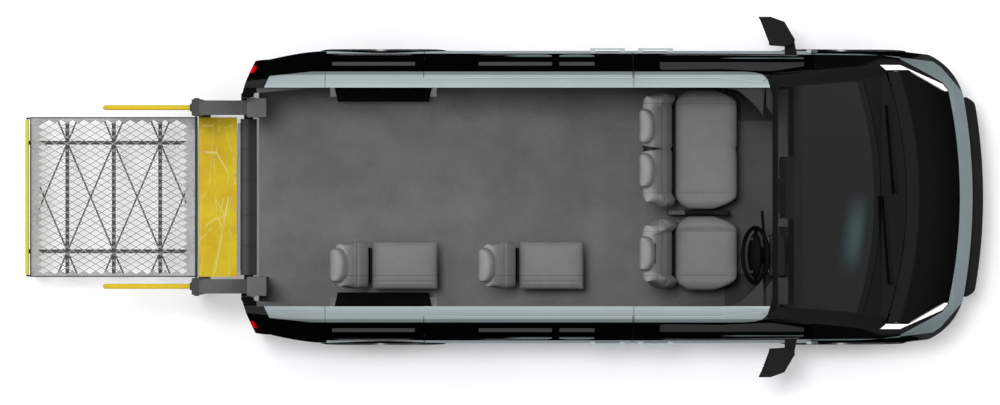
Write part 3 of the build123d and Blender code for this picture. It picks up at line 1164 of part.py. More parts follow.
def roll_stop():
    """The raised flap at the platform's outer end."""
    half = ROLL_STOP_THICKNESS / 2
    flap = block(ROLL_STOP_HINGE_X - half, ROLL_STOP_HINGE_X + half, -ROLL_STOP_HALF_WIDTH, ROLL_STOP_HALF_WIDTH,
                 ROLL_STOP_HINGE_Z, PLATFORM_Z + ROLL_STOP_HEIGHT)
    barrel = rod("y", (ROLL_STOP_HINGE_X, 0, ROLL_STOP_HINGE_Z), half, 2 * ROLL_STOP_HALF_WIDTH)
    bore = rod("y", (ROLL_STOP_HINGE_X, 0, ROLL_STOP_HINGE_Z), ROLL_STOP_PIN_RADIUS + SEAT_GAP, 2 * PLATFORM_HALF_WIDTH)
    return cut(join(flap, barrel), bore)


def all_nodes():
    """Every piece of the van by its node's name."""
    side = body_sides()
    door, slider, panel = front_door(), sliding_door(), fender()
    window, mirror, knuckle_left = pane(FRONT_WINDOW), mirror_left(), knuckle()
    nodes = {
        "floor": floor(), "chassis": chassis(), "body_side_left": side, "body_side_right": mirrored(side),
        "sliding_door_left": slider, "sliding_door_right": mirrored(slider), "fixed_side_glass": fixed_glass(),
        "front_fenders": [panel, mirrored(panel)], "front_bumper": front_bumper(), "grille": grille(),
        "headlamps": headlamps(), "lamp_housings": lamp_housings(), "windscreen_frame": windscreen_frame(),
        "windscreen": windscreen(), "wipers": wipers(), "hood": hood(), "dashboard": dashboard(),
        "firewall": firewall(), "steering_column": steering_column(), "steering_wheel": steering_wheel(),
        "seat_cushions": seat_cushions(), "seat_backs": seat_backs(), "headrests": headrests(),
        "seat_bases": seat_bases(), "console": console(),
        "wheel_housings": wheel_housings(), "rear_bumper": rear_bumper(),
        "rear_step": rear_step(), "tail_lamps": tail_lamps(), "engine": engine(), "rear_axle": rear_axle(),
        "front_suspension": front_suspension(), "arch_flares": arch_flares(),
        "front_door_left": door, "front_door_right": mirrored(door),
        "door_glass_left": window, "door_glass_right": mirrored(window),
        "mirror_left": mirror, "mirror_right": mirrored(mirror),
        "knuckle_left": knuckle_left, "knuckle_right": mirrored(knuckle_left),
        "lift_towers": lift_towers(), "lift_upper_arms": lift_arms(UPPER_PIVOT_Z),
        "lift_lower_arms": lift_arms(LOWER_PIVOT_Z), "lift_carriage": lift_carriage(), "handrails": handrails(),
        "platform_frame": platform_frame(), "platform_mesh": platform_mesh(), "bridge_plate": bridge_plate(),
        "roll_stop": roll_stop(),
    }
    for end, axle_x in (("front", FRONT_AXLE_X), ("rear", REAR_AXLE_X)):
        for hand, side_sign in (("left", 1), ("right", -1)):
            tyre, rim = wheel_pieces(axle_x, side_sign)
            nodes[f"tyre_{end}_{hand}"] = tyre
            nodes[f"rim_{end}_{hand}"] = rim
    return nodes


def main():
    os.makedirs("parts", exist_ok=True)
    for name, shape in all_nodes().items():
        export_step(Compound(children=pieces(shape)), f"parts/{name}.step")


if __name__ == "__main__":
    main()
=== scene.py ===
import math
from collections import namedtuple

import bmesh
import bpy
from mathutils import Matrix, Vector


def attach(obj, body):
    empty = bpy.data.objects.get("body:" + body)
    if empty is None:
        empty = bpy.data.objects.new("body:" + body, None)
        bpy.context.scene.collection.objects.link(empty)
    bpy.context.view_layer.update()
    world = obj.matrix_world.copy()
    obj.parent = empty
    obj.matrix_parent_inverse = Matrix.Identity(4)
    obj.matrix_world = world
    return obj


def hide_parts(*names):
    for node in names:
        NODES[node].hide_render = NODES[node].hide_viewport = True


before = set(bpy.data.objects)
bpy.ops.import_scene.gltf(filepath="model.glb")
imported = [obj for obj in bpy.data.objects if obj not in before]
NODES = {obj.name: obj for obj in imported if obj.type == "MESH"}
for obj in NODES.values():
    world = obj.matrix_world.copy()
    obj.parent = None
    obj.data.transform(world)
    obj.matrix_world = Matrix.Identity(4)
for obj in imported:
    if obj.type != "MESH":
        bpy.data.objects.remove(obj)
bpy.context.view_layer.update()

# Places in the CAD part, in millimetres
FRONT_AXLE_X, REAR_AXLE_X = 2370, -841
WHEEL_Y, WHEEL_Z = 863, 355
FLOOR_Z = 560


# Colours are written as sRGB values from 0 to 255.

def linear(rgb):
    """An sRGB colour as Blender's linear RGBA."""
    values = [v / 255 for v in rgb]
    return [*[v / 12.92 if v <= 0.04045 else ((v + 0.055) / 1.055) ** 2.4 for v in values], 1.0]


class Nodes:
    """A short way to write a material's node tree."""

    def __init__(self, name):
        self.material = bpy.data.materials.new(name)
        self.material.use_nodes = True
        self.tree = self.material.node_tree
        self.tree.nodes.clear()
        self.out = self.add("ShaderNodeOutputMaterial")
        self.shader = self.add("ShaderNodeBsdfPrincipled")
        self.link(self.shader.outputs[0], self.out.inputs["Surface"])

    def add(self, kind, **settings):
        node = self.tree.nodes.new(kind)
        for key, value in settings.items():
            setattr(node, key, value)
        return node

    def link(self, source, target):
        self.tree.links.new(source, target)

    def put(self, target, value):
        """Links a socket to target, or sets a number or a colour there; a tuple is an sRGB colour."""
        if isinstance(value, bpy.types.NodeSocket):
            self.link(value, target)
        else:
            target.default_value = linear(value) if isinstance(value, tuple) else value

    def surface(self, colour, roughness, specular=0.5, **others):
        """Sets the Principled shader's sockets; underscores in other names stand for spaces."""
        values = {"Base_Color": colour, "Roughness": roughness, "Specular_IOR_Level": specular, **others}
        for key, value in values.items():
            self.put(self.shader.inputs[key.replace("_", " ")], value)
        return self

    def place(self, scale=(1, 1, 1), rotation=(0, 0, 0), location=(0, 0, 0)):
        """A point of the row frame in metres, turned, moved and scaled."""
        coords = self.add("ShaderNodeTexCoord")
        mapping = self.add("ShaderNodeMapping")
        for key, value in (("Scale", scale), ("Rotation", rotation), ("Location", location)):
            mapping.inputs[key].default_value = value
        self.link(coords.outputs["Object"], mapping.inputs["Vector"])
        return mapping.outputs["Vector"]

    def axis(self, name):
        """One coordinate of the row frame, in metres."""
        coords = self.add("ShaderNodeTexCoord")
        split = self.add("ShaderNodeSeparateXYZ")
        self.link(coords.outputs["Object"], split.inputs[0])
        return split.outputs[name]

    def normal(self, name):
        geometry = self.add("ShaderNodeNewGeometry")
        split = self.add("ShaderNodeSeparateXYZ")
        self.link(geometry.outputs["Normal"], split.inputs[0])
        return split.outputs[name]

    def noise(self, size, detail=3.0, roughness=0.55, stretch=(1, 1, 1), distortion=0.0):
        """Noise whose features are about size metres across."""
        node = self.add("ShaderNodeTexNoise")
        node.inputs["Scale"].default_value = 1 / size
        node.inputs["Detail"].default_value = detail
        node.inputs["Roughness"].default_value = roughness
        node.inputs["Distortion"].default_value = distortion
        self.link(self.place(stretch), node.inputs["Vector"])
        return node.outputs["Fac"]

    def cells(self, size, feature="F1", vector=None):
        """Cells about size metres across, or size units of another vector."""
        node = self.add("ShaderNodeTexVoronoi", feature=feature)
        node.inputs["Scale"].default_value = 1 / size
        self.link(vector or self.place(), node.inputs["Vector"])
        return node.outputs["Distance"]

    def math(self, kind, a, b=0.0, c=0.0):
        node = self.add("ShaderNodeMath", operation=kind)
        for socket, value in zip(node.inputs, (a, b, c)):
            self.put(socket, value)
        return node.outputs[0]

    def span(self, value, low, high, to_low=0.0, to_high=1.0, smooth=False):
        node = self.add("ShaderNodeMapRange", interpolation_type="SMOOTHSTEP" if smooth else "LINEAR")
        self.put(node.inputs["Value"], value)
        for key, number in (("From Min", low), ("From Max", high), ("To Min", to_low), ("To Max", to_high)):
            node.inputs[key].default_value = number
        return node.outputs["Result"]

    def inside(self, value, low, high, soft=0.0008):
        """1 between low and high, else 0, with a thin soft edge."""
        rise = self.span(value, low - soft, low + soft)
        fall = self.span(value, high - soft, high + soft, 1.0, 0.0)
        return self.math("MULTIPLY", rise, fall)

    def mix(self, factor, a, b):
        node = self.add("ShaderNodeMix", data_type="RGBA")
        self.put(node.inputs["Factor"], factor)
        self.put(node.inputs[6], a)
        self.put(node.inputs[7], b)
        return node.outputs[2]

    def bump(self, height, strength, distance):
        node = self.add("ShaderNodeBump")
        node.inputs["Strength"].default_value = strength
        node.inputs["Distance"].default_value = distance
        self.put(node.inputs["Height"], height)
        self.link(node.outputs[0], self.shader.inputs["Normal"])
        return self


# Materials

def shaded(colour, factor):
    """A colour made lighter or darker."""
    return [c * factor for c in colour[:3]] + [1.0]


def clouded(n, colour, size, spread):
    """A colour that varies softly over features of about size metres."""
    base = linear(colour)
    return n.mix(n.span(n.noise(size, 3.0), 0.3, 0.7), shaded(base, 1 - spread), shaded(base, 1 + spread))


def shine(n, level):
    """Specular level that fades where a surface is seen at a flat angle, as on dull trim."""
    facing = n.add("ShaderNodeLayerWeight").outputs["Facing"]
    return n.span(facing, 0.2, 0.6, level, 0.0)


def gloss_black(name, colour=(10, 11, 12), level=0.4):
    """Piano-black trim and dark glass, with a faint unevenness."""
    n = Nodes(name)
    n.surface(clouded(n, colour, 0.3, 0.12), 0.22, shine(n, level))
    return n.bump(n.noise(0.0008, 1.0), 0.02, 0.0002).material


def moulded(name, colour, roughness=0.6, grain=0.0012, strength=0.2):
    """Grained plastic."""
    n = Nodes(name)
    cloud = n.noise(0.12, 3.0)
    dull = n.span(cloud, 0.2, 0.8, roughness - 0.08, roughness + 0.08)
    n.surface(clouded(n, colour, 0.12, 0.12), dull, shine(n, 0.08))
    return n.bump(n.cells(grain), strength, 0.0004).material


def satin_paint(name, colour, roughness=0.5, mottle=0.12):
    """Powder paint on steel, slightly mottled."""
    n = Nodes(name)
    base = linear(colour)
    fine, broad = n.noise(0.02, 5.0, 0.65), n.noise(0.18, 3.0)
    mixed = n.math("MULTIPLY_ADD", fine, 0.6, n.math("MULTIPLY", broad, 0.4))
    tone = n.mix(n.span(mixed, 0.35, 0.65), shaded(base, 1 - mottle), shaded(base, 1 + mottle))
    n.surface(tone, n.span(fine, 0.3, 0.7, roughness - 0.08, roughness + 0.1), 0.12)
    return n.bump(fine, 0.12, 0.0004).material


def plain_metal(name, colour, roughness=0.35, metallic=0.9):
    """Bare or plated metal, faintly uneven."""
    n = Nodes(name)
    base = linear(colour)
    fine = n.noise(0.004, 4.0, 0.6)
    tone = n.mix(n.span(fine, 0.3, 0.7), shaded(base, 0.88), shaded(base, 1.1))
    n.surface(tone, n.span(fine, 0.3, 0.7, roughness - 0.07, roughness + 0.1), Metallic=metallic)
    return n.bump(fine, 0.08, 0.0003).material


def tail_lens():
    """The tail lamps: smoked dark red, and clear red at the top."""
    n = Nodes("tail_lens")
    top = n.span(n.axis("Z"), 1.34, 1.36)
    ribs = n.math("SINE", n.math("MULTIPLY", n.axis("Z"), 420.0))
    tone = n.mix(top, (52, 5, 7), (235, 8, 10))
    n.surface(tone, 0.25, shine(n, 0.4))
    return n.bump(ribs, 0.15, 0.0004).material


PALE = (169, 181, 183)
DARK = (5, 5, 6)

# Heights and widths of the paint's borders, in metres; widths are measured from the van's middle
RAIL_LOW_Z = 1.7
RAIL_INNER_Y, RAIL_OUTER_Y = 0.754, 0.866
# Where painted shade begins to darken the roof rails' steep outer edges
RAIL_SHADE_Y = (0.841, 0.846)
RAIL_CREASE_Y = 0.817
RAIL_CREASE_X = (-0.277, 1.5)
CROSS_SEAMS_X = (-1.235, 0.896)
BELT_Z = 1.0
FLANK_TOP_Z = 0.865
QUARTER_X = -1.237
QUARTER_RISE = 0.13
FRONT_LEDGE_X = (1.5, 1.51)
REAR_LEDGE_X = (-1.709, -1.707)
REAR_ARCH_RADIUS, FRONT_ARCH_RADIUS = 0.625, 0.80
ARCH_Y = 0.975
NOSE_LOW_Z = 0.69

# Slanted borders of the paint seen from above: width = start + rise * x, as (start, rise) in metres
RAIL_ENDS = ((1.0653, 0.1422), (1.2838, -0.245), (4.493, 2.257), (2.5790, -0.9714))
FENDER_TOP = ((1.1038, -0.0535), (1.3141, -0.1382))
FENDER_SHOULDER = ((1.0217, -0.0111), (1.1746, -0.0727))
NOSE_BAND = ((1.2975, -0.119), (3.0207, -0.6964), (4.4079, -1.1528))


def abs_y(n):
    return n.math("ABSOLUTE", n.axis("Y"))


def both(n, *masks):
    """The product of some masks or numbers."""
    result = masks[0]
    for mask in masks[1:]:
        result = n.math("MULTIPLY", result, mask)
    return result


def either(n, *masks):
    """The largest of some masks."""
    result = masks[0]
    for mask in masks[1:]:
        result = n.math("MAXIMUM", result, mask)
    return result


def outside_of(n, mask):
    return n.math("SUBTRACT", 1.0, mask)


def above(n, value, level, soft=0.001):
    return n.span(value, level - soft, level + soft)


def below(n, value, level, soft=0.0005):
    return n.span(value, level - soft, level + soft, 1.0, 0.0)


def within(n, width, x, lines):
    """1 where width lies inside all of some slanted borders."""
    masks = []
    for start, rise in lines:
        line = n.math("MULTIPLY_ADD", x, rise, start)
        masks.append(n.span(n.math("SUBTRACT", line, width), -0.0008, 0.0008))
    return both(n, *masks)


def seam(n, value, at, width=0.002):
    """1 on a thin line where value is at, width metres to either side."""
    return n.inside(value, at - width, at + width, 0.0006)


def from_axle(n, axle_x):
    """How far forward of a wheel's axis and above it a point lies, and its distance from that axis."""
    along = n.math("SUBTRACT", n.axis("X"), axle_x)
    up = n.math("SUBTRACT", n.axis("Z"), WHEEL_Z / 1000)
    return along, up, n.math("SQRT", n.math("MULTIPLY_ADD", along, along, n.math("MULTIPLY", up, up)))


def near_axle(n, axle_x, radius):
    """1 within radius of a wheel's axis, seen from the side."""
    far = from_axle(n, axle_x / 1000)[2]
    return n.span(far, radius, radius + 0.002, 1.0, 0.0)


def facing_in(n):
    """1 on walls that face the middle of the vehicle."""
    toward = n.math("MULTIPLY", n.normal("Y"), n.math("SIGN", n.axis("Y")))
    return n.span(toward, -0.55, -0.5, 1.0, 0.0)


def body_paint():
    """The pale body: its roof rails and lower flanks show, and the band between them is black. The rails
    have painted shade along their outer edges and a painted highlight along their inner edges.
    """
    n = Nodes("body")
    x, y, z = n.axis("X"), abs_y(n), n.axis("Z")
    high = above(n, z, RAIL_LOW_Z)
    inward = below(n, y, RAIL_INNER_Y)
    rail = both(n, high, below(n, y, RAIL_OUTER_Y), above(n, y, RAIL_INNER_Y, 0.0005),
                within(n, y, x, RAIL_ENDS))
    waist = n.math("MULTIPLY_ADD", above(n, x, QUARTER_X, 0.0005), QUARTER_RISE, FLANK_TOP_Z)
    flank = above(n, n.math("SUBTRACT", waist, z), 0.0)
    crease = both(n, seam(n, y, RAIL_CREASE_Y, 0.0025), n.inside(x, *RAIL_CREASE_X), 0.3)
    door_seam = seam(n, x, CROSS_SEAMS_X[1])
    lines = either(n, seam(n, x, CROSS_SEAMS_X[0]), both(n, door_seam, n.span(z, 1.2, 1.202)), crease)
    cladding = both(n, near_axle(n, REAR_AXLE_X, REAR_ARCH_RADIUS), n.span(y, ARCH_Y, ARCH_Y + 0.001))
    pale = n.mix(n.span(n.noise(0.6, 2.0), 0.3, 0.7), shaded(linear(PALE), 0.96), shaded(linear(PALE), 1.04))
    # Painted shade: the rails darken to half their tone towards their steep outer edges
    edge = n.span(y, *RAIL_SHADE_Y, 0.0, 1.0, True)
    upper = n.mix(both(n, edge, high), pale, shaded(linear(PALE), 0.5))
    # Painted highlight: the rails' flatter inner parts are made lighter towards their inner edges
    upper = n.mix(n.span(y, 0.755, 0.80, 0.25, 0.0, True), upper, (205, 216, 216))
    lined = n.mix(lines, upper, (60, 68, 70))
    black = n.mix(both(n, door_seam, n.span(z, BELT_Z, BELT_Z + 0.002)), DARK, (70, 72, 72))
    ledge = both(n, inward, n.span(z, BELT_Z, BELT_Z + 0.01))
    ledge_tone = n.mix(n.span(x, *FRONT_LEDGE_X), (90, 92, 91), (62, 64, 63))
    ledge_tone = n.mix(n.span(x, *REAR_LEDGE_X, 1.0, 0.0), ledge_tone, (17, 17, 17))
    black = n.mix(ledge, black, ledge_tone)
    pale_mask = both(n, either(n, rail, flank), outside_of(n, either(n, cladding, both(n, inward, rail))))
    outside = n.mix(pale_mask, black, lined)
    lining = clouded(n, (88, 90, 89), 0.2, 0.05)
    n.surface(n.mix(facing_in(n), outside, lining), 0.3, both(n, outside_of(n, ledge), shine(n, 0.2)))
    return n.bump(n.noise(0.0007, 1.0), 0.02, 0.0002).material


def fender_paint():
    """Front fenders: a pale band along the shoulder between the black top and the black arch cladding."""
    n = Nodes("fender")
    x, y = n.axis("X"), abs_y(n)
    top = within(n, y, x, FENDER_TOP)
    outer = outside_of(n, within(n, y, x, FENDER_SHOULDER))
    cladding = both(n, near_axle(n, FRONT_AXLE_X, FRONT_ARCH_RADIUS), outer)
    tone = clouded(n, (118, 134, 136), 0.6, 0.04)
    pale_mask = both(n, outside_of(n, top), outside_of(n, cladding))
    n.surface(n.mix(pale_mask, DARK, tone), 0.3, shine(n, 0.18))
    return n.material


def nose_paint():
    """The painted band round the nose, with painted shade darkening it towards its sides and faint painted
    highlights along its creases; the bumper below and outside it is black.
    """
    n = Nodes("nose")
    x, y, z = n.axis("X"), abs_y(n), n.axis("Z")
    band = both(n, within(n, y, x, NOSE_BAND), above(n, z, NOSE_LOW_Z, 0.0005))
    # Painted highlight: faint light lines along the band's creases
    crease = n.inside(n.noise(0.25, 1.0), 0.49, 0.51, 0.05)
    # Painted shade: the band darkens towards its sides, where it turns away from the light
    shade = n.span(y, 0.55, 0.95, 1.0, 0.62, True)
    tone = n.mix(shade, (88, 104, 106), (122, 134, 136))
    tone = n.mix(both(n, crease, 0.08), tone, (190, 200, 200))
    n.surface(n.mix(band, (5, 6, 6), tone), 0.3, shine(n, 0.18))
    return n.material


def hood_paint():
    """The dark hood: a painted sheen makes a lighter band along its rear edge, and painted shade fades it to
    black at the nose.
    """
    n = Nodes("hood")
    y = n.axis("Y")
    ring = n.math("MULTIPLY_ADD", n.math("MULTIPLY", y, y), 0.18, n.axis("X"))
    # Painted sheen: a lighter band along the hood's rear edge
    ahead = n.span(ring, 2.875, 2.895, 0.0, 1.0, True)
    # Painted shade: the hood darkens to black towards the nose
    nose_shade = n.span(ring, 2.9, 3.25, 0.0, 1.0, True)
    front = n.mix(nose_shade, (17, 18, 18), (3, 3, 3))
    n.surface(n.mix(ahead, (31, 33, 32), front), 0.45, shine(n, 0.01))
    return n.material


def screen_glass():
    """The windscreen: dark, with a black border and a soft pale reflection low on its right."""
    n = Nodes("windscreen_glass")
    x, y = n.axis("X"), n.axis("Y")
    ring = n.math("MULTIPLY_ADD", n.math("MULTIPLY", y, y), 0.19, x)
    border = n.span(ring, 2.563, 2.569)
    slanted = n.math("MULTIPLY_ADD", y, -0.12, x)
    across = n.span(n.math("ABSOLUTE", n.math("ADD", y, 0.25)), 0.03, 0.33, 1.0, 0.0, True)
    rise = n.span(slanted, 2.35, 2.47, 0.0, 1.0, True)
    fall = n.span(slanted, 2.47, 2.55, 1.0, 0.0, True)
    tone = n.mix(n.span(x, 1.95, 2.55, 0.0, 1.0, True), (30, 32, 32), (31, 34, 33))
    tone = n.mix(both(n, across, rise, fall, 0.8), tone, (66, 84, 88))
    tone = n.mix(border, tone, (8, 9, 9))
    veil = n.span(x, 1.99, 2.08, 0.12, 0.96, True)
    n.surface(tone, 0.15, shine(n, 0.1), Alpha=either(n, veil, border))
    return n.material


def side_glass(name, grey, inner, outer, line_low, line_high, line_start):
    """Dark side glass with the reflections that the photo shows along it."""
    n = Nodes(name)
    x, y = n.axis("X"), abs_y(n)
    taper = n.span(x, line_start, line_start + 0.12)
    line = both(n, n.inside(y, line_low, line_high, 0.002), taper)
    tone = n.mix(n.inside(y, inner, outer, 0.002), (4, 4, 5), linear(grey))
    tone = n.mix(line, tone, (120, 137, 139))
    n.surface(tone, 0.15, shine(n, 0.4))
    return n.material


def scratched_yellow():
    """Worn yellow paint: fine pale scratches in three directions, small bare patches and grime."""
    n = Nodes("scratched_yellow")
    lines = []
    for angle, spacing, seed in ((0.35, 0.16, 1.0), (1.25, 0.21, 7.0), (1.9, 0.27, 13.0)):
        turned = n.place((1 / spacing, 0.35 / spacing, 1), (0, 0, angle), (seed, seed * 0.7, 0))
        edges = n.cells(1.0, "DISTANCE_TO_EDGE", turned)
        worn = n.span(n.noise(0.11 + seed / 200, 2.0), 0.47, 0.53)
        lines.append(both(n, n.span(edges, 0.006, 0.014, 1.0, 0.0), worn))
    scratches = either(n, *lines)
    chips = n.span(n.noise(0.05, 3.0, 0.6, (1, 0.6, 1), 1.5), 0.66, 0.68)
    specks = n.span(n.noise(0.014, 2.0), 0.74, 0.76)
    cloud = n.span(n.noise(0.2, 4.0), 0.35, 0.65)
    tone = n.mix(cloud, (206, 172, 22), (222, 196, 44))
    tone = n.mix(both(n, scratches, 0.6), tone, (232, 222, 140))
    tone = n.mix(both(n, either(n, chips, specks), 0.9), tone, (160, 158, 120))
    n.surface(tone, n.span(cloud, 0, 1, 0.5, 0.65), 0.12)
    return n.bump(n.math("ADD", scratches, chips), 0.15, 0.0003).material


def step_metal():
    """The ribbed step: a rounded strip, dark at its middle, with a painted highlight near its rear edge, a
    thin brighter painted highlight on that edge and painted shade along its ribs.
    """
    n = Nodes("step")
    x, y = n.axis("X"), n.axis("Y")
    # Painted highlight: the rounded strip is lighter near its rear edge
    pale = both(n, n.span(x, -1.835, -1.81, 0.2, 1.0, True), n.span(x, -1.81, -1.765, 1.0, 0.0, True))
    tone = n.mix(pale, (32, 33, 33), (74, 77, 76))
    for at in (0.333, 0.118, -0.125, -0.340):
        # Painted shade: dark lines along both sides of each rib
        rib_shade = either(n, seam(n, y, at - 0.006, 0.0015), seam(n, y, at + 0.006, 0.0015))
        tone = n.mix(both(n, rib_shade, 0.8), tone, (12, 13, 13))
    # Painted highlight: a thin bright line on the very rear edge
    tone = n.mix(n.span(x, -1.838, -1.8375, 1.0, 0.0), tone, (163, 161, 177))
    n.surface(tone, 0.5, 0.1)
    return n.bump(n.noise(0.003, 3.0, 0.6, (6, 1, 1)), 0.1, 0.0003).material


def floor_cover():
    """Worn vinyl: fine mottling, broad cloudy wear and small dark marks, with painted shade darkening it
    towards the front.
    """
    n = Nodes("floor_cover")
    fine = n.noise(0.012, 6.0, 0.7)
    broad = n.noise(0.35, 4.0, 0.6)
    marks = n.span(n.noise(0.05, 4.0, 0.7, (1, 1, 1), 0.8), 0.62, 0.75)
    mixed = n.math("MULTIPLY_ADD", fine, 0.35, n.math("MULTIPLY", broad, 0.65))
    tone = n.mix(n.span(mixed, 0.36, 0.64), (99, 101, 100), (119, 121, 120))
    # Painted shade: the floor darkens towards the front
    tone = n.mix(n.span(n.axis("X"), 0.75, 1.6, 0.0, 0.62, True), tone, (40, 41, 40))
    tone = n.mix(both(n, marks, 0.25), tone, (84, 85, 84))
    n.surface(tone, n.span(fine, 0.3, 0.7, 0.6, 0.8), 0.2)
    return n.bump(fine, 0.2, 0.0006).material


def hide(name, colour, seams_at=(), piping=(), shade_strips=(), shaded_notch=None):
    """Grained seat leather. seams_at are dark seams at places along Y and piping are light ones along X. The
    third list holds strips (x0, x1, y0, y1) of painted shade on the backrests' tops below the headrests, and
    the last value is the Y of a gap in a backrest that painted shade shows as a black V, all in metres."""
    n = Nodes(name)
    x, y = n.axis("X"), n.axis("Y")
    grain = n.cells(0.0022, "DISTANCE_TO_EDGE")
    cloud = n.noise(0.09, 4.0)
    base = linear(colour)
    tone = n.mix(n.span(cloud, 0.3, 0.7), shaded(base, 0.92), shaded(base, 1.08))
    for at in seams_at:
        tone = n.mix(both(n, seam(n, y, at, 0.003), 0.55), tone, shaded(base, 0.35))
    for at in piping:
        tone = n.mix(both(n, seam(n, x, at, 0.003), 0.6), tone, shaded(base, 1.7))
    # Painted shade: dark strips on the backrests' tops below the headrests
    for x0, x1, y0, y1 in shade_strips:
        mask = both(n, n.inside(x, x0, x1, 0.002), n.inside(y, y0, y1, 0.004))
        tone = n.mix(mask, tone, shaded(base, 0.12))
    # Painted shade: a black V where the gap between the bench's backrests is
    if shaded_notch is not None:
        wide = n.span(x, 0.95, 1.12, 0.024, 0.0)
        off = n.math("ABSOLUTE", n.math("SUBTRACT", y, shaded_notch))
        mask = n.span(n.math("SUBTRACT", wide, off), 0.0, 0.003)
        tone = n.mix(mask, tone, (10, 10, 10))
    n.surface(tone, n.span(cloud, 0.2, 0.8, 0.5, 0.65), 0.3)
    relief = n.math("MULTIPLY_ADD", n.noise(0.03, 3.0), 0.6, grain)
    return n.bump(relief, 0.25, 0.0005).material


def galvanised(name, colour):
    """Zinc-coated mesh with pale and grey strands."""
    n = Nodes(name)
    flecks = n.cells(0.02)
    cloud = n.noise(0.15, 3.0)
    mixed = n.math("MULTIPLY_ADD", flecks, 0.5, n.math("MULTIPLY", cloud, 0.8))
    base = linear(colour)
    tone = n.mix(n.span(mixed, 0.35, 0.75), shaded(base, 0.7), shaded(base, 1.15))
    n.surface(tone, 0.45, 0.4, Metallic=0.2)
    return n.bump(flecks, 0.1, 0.0004).material


def glow_lens():
    """The daylight strips: a white lens that also gives a little light."""
    n = Nodes("daylight_lens")
    ribs = n.math("SINE", n.math("MULTIPLY", n.axis("X"), 900.0))
    strip = n.span(n.axis("Z"), 0.72, 0.73)
    bulb = n.inside(n.axis("Z"), 0.545, 0.605, 0.004)
    low = n.mix(bulb, (96, 100, 102), (205, 208, 208))
    n.surface(n.mix(strip, low, (240, 241, 241)), 0.3, 0.4,
              Emission_Color=(255, 255, 255), Emission_Strength=n.math("MULTIPLY", strip, 0.3))
    return n.bump(ribs, 0.1, 0.0004).material


def tread_rubber():
    """Tyre rubber with grooves round the tread, cross sipes and rings on the side walls, all darkened with
    painted shade.
    """
    n = Nodes("tread_rubber")
    y = abs_y(n)
    rear = n.span(n.axis("X"), 0.5, 0.51, REAR_AXLE_X / 1000, FRONT_AXLE_X / 1000)
    along, up, radius = from_axle(n, rear)
    angle = n.math("ARCTAN2", up, along)
    tread = n.span(radius, 0.340, 0.343)
    grooves = [seam(n, y, at, 0.0035) for at in (0.800, 0.842, 0.884, 0.926)]
    wave = n.math("SINE", n.math("MULTIPLY_ADD", angle, 84.0, n.math("MULTIPLY", y, 60.0)))
    pattern = both(n, either(n, *grooves, n.span(wave, 0.80, 0.86)), tread)
    rings = either(n, *[seam(n, radius, at, 0.0012) for at in (0.245, 0.262, 0.312, 0.330)])
    tone = clouded(n, (27, 27, 28), 0.1, 0.15)
    # Painted shade: the tread's grooves and sipes are darkened
    tone = n.mix(pattern, tone, (5, 5, 5))
    # Painted shade: the side walls' rings are darkened
    tone = n.mix(both(n, rings, 0.6), tone, (12, 12, 12))
    n.surface(tone, 0.85, 0.15)
    return n.bump(both(n, either(n, pattern, rings), -1.0), 0.6, 0.003).material


SEAT_SEAMS = (-0.237, -0.545, 0.648, 0.028)
BACK_PIPING = (1.085, 1.104, 1.120, -0.012, 0.013, -1.035, -1.010)
# Strips of painted shade on the backrests' tops, below the headrests, as (x0, x1, y0, y1)
HEADREST_SHADE_STRIPS = ((1.022, 1.035, 0.410, 0.561), (1.022, 1.035, 0.112, 0.266), (1.042, 1.051, -0.462, -0.319))
# Where a black V of painted shade marks the gap between the bench's two backrests
BENCH_SHADED_NOTCH_Y = 0.335

MATERIALS = {
    "body": body_paint(), "fender": fender_paint(), "nose": nose_paint(), "hood": hood_paint(),
    "screen": screen_glass(), "daylight": glow_lens(), "step": step_metal(), "floor_cover": floor_cover(),
    "yellow_plate": scratched_yellow(), "tail_lens": tail_lens(), "rubber": tread_rubber(),
}
# Each maker with its looks: name, colour, and then the maker's further values in their own order
LOOKS = (
    (gloss_black, (("black",), ("lamp_box", (7, 7, 8), 0.1), ("pillar", (11, 12, 12), 0.06))),
    (moulded, (
        ("box_black", (4, 5, 4), 0.9), ("bumper_black", (9, 10, 10), 0.8), ("trim", (18, 19, 19)),
        ("dash", (47, 49, 49), 0.65), ("dash_pale", (92, 95, 92), 0.65), ("soft_black", (12, 12, 13), 0.75),
        ("mat", (58, 59, 58), 0.95, 0.004, 0.5), ("switch", (58, 60, 60), 0.5),
        ("belt", (34, 34, 36), 0.8, 0.003, 0.4))),
    (satin_paint, (
        ("lift_grey", (98, 100, 99)), ("lift_dark", (62, 63, 60)), ("tower_grey", (96, 98, 97)),
        ("rail_yellow", (226, 196, 40), 0.4, 0.06), ("stop_yellow", (216, 205, 30), 0.4, 0.04),
        ("steel_dark", (60, 62, 60)), ("under_black", (26, 27, 27)),
        ("dial_white", (222, 222, 218), 0.5, 0.03), ("pale_grey", (128, 135, 133), 0.5, 0.05))),
    (plain_metal, (
        ("cast", (84, 86, 88), 0.55, 0.6), ("bright_steel", (170, 172, 174), 0.25),
        ("alloy", (165, 168, 170), 0.3), ("mirror_glass", (190, 195, 198), 0.08))),
    (galvanised, (("mesh", (128, 130, 130)),)),
    (side_glass, (("slide_glass", (82, 86, 84), 0.909, 0.935, 0.974, 0.987, 0.0),
                  ("door_glass", (62, 63, 62), 0.872, 0.934, 0.960, 0.967, 1.5))),
    (hide, (("seat", (122, 124, 123), SEAT_SEAMS), ("headrest", (138, 142, 141)),
            ("seat_back", (150, 153, 151), SEAT_SEAMS, BACK_PIPING, HEADREST_SHADE_STRIPS, BENCH_SHADED_NOTCH_Y))),
)
for maker, looks in LOOKS:
    for values in looks:
        MATERIALS[values[0]] = maker(*values)


def look(name):
    return MATERIALS[name]


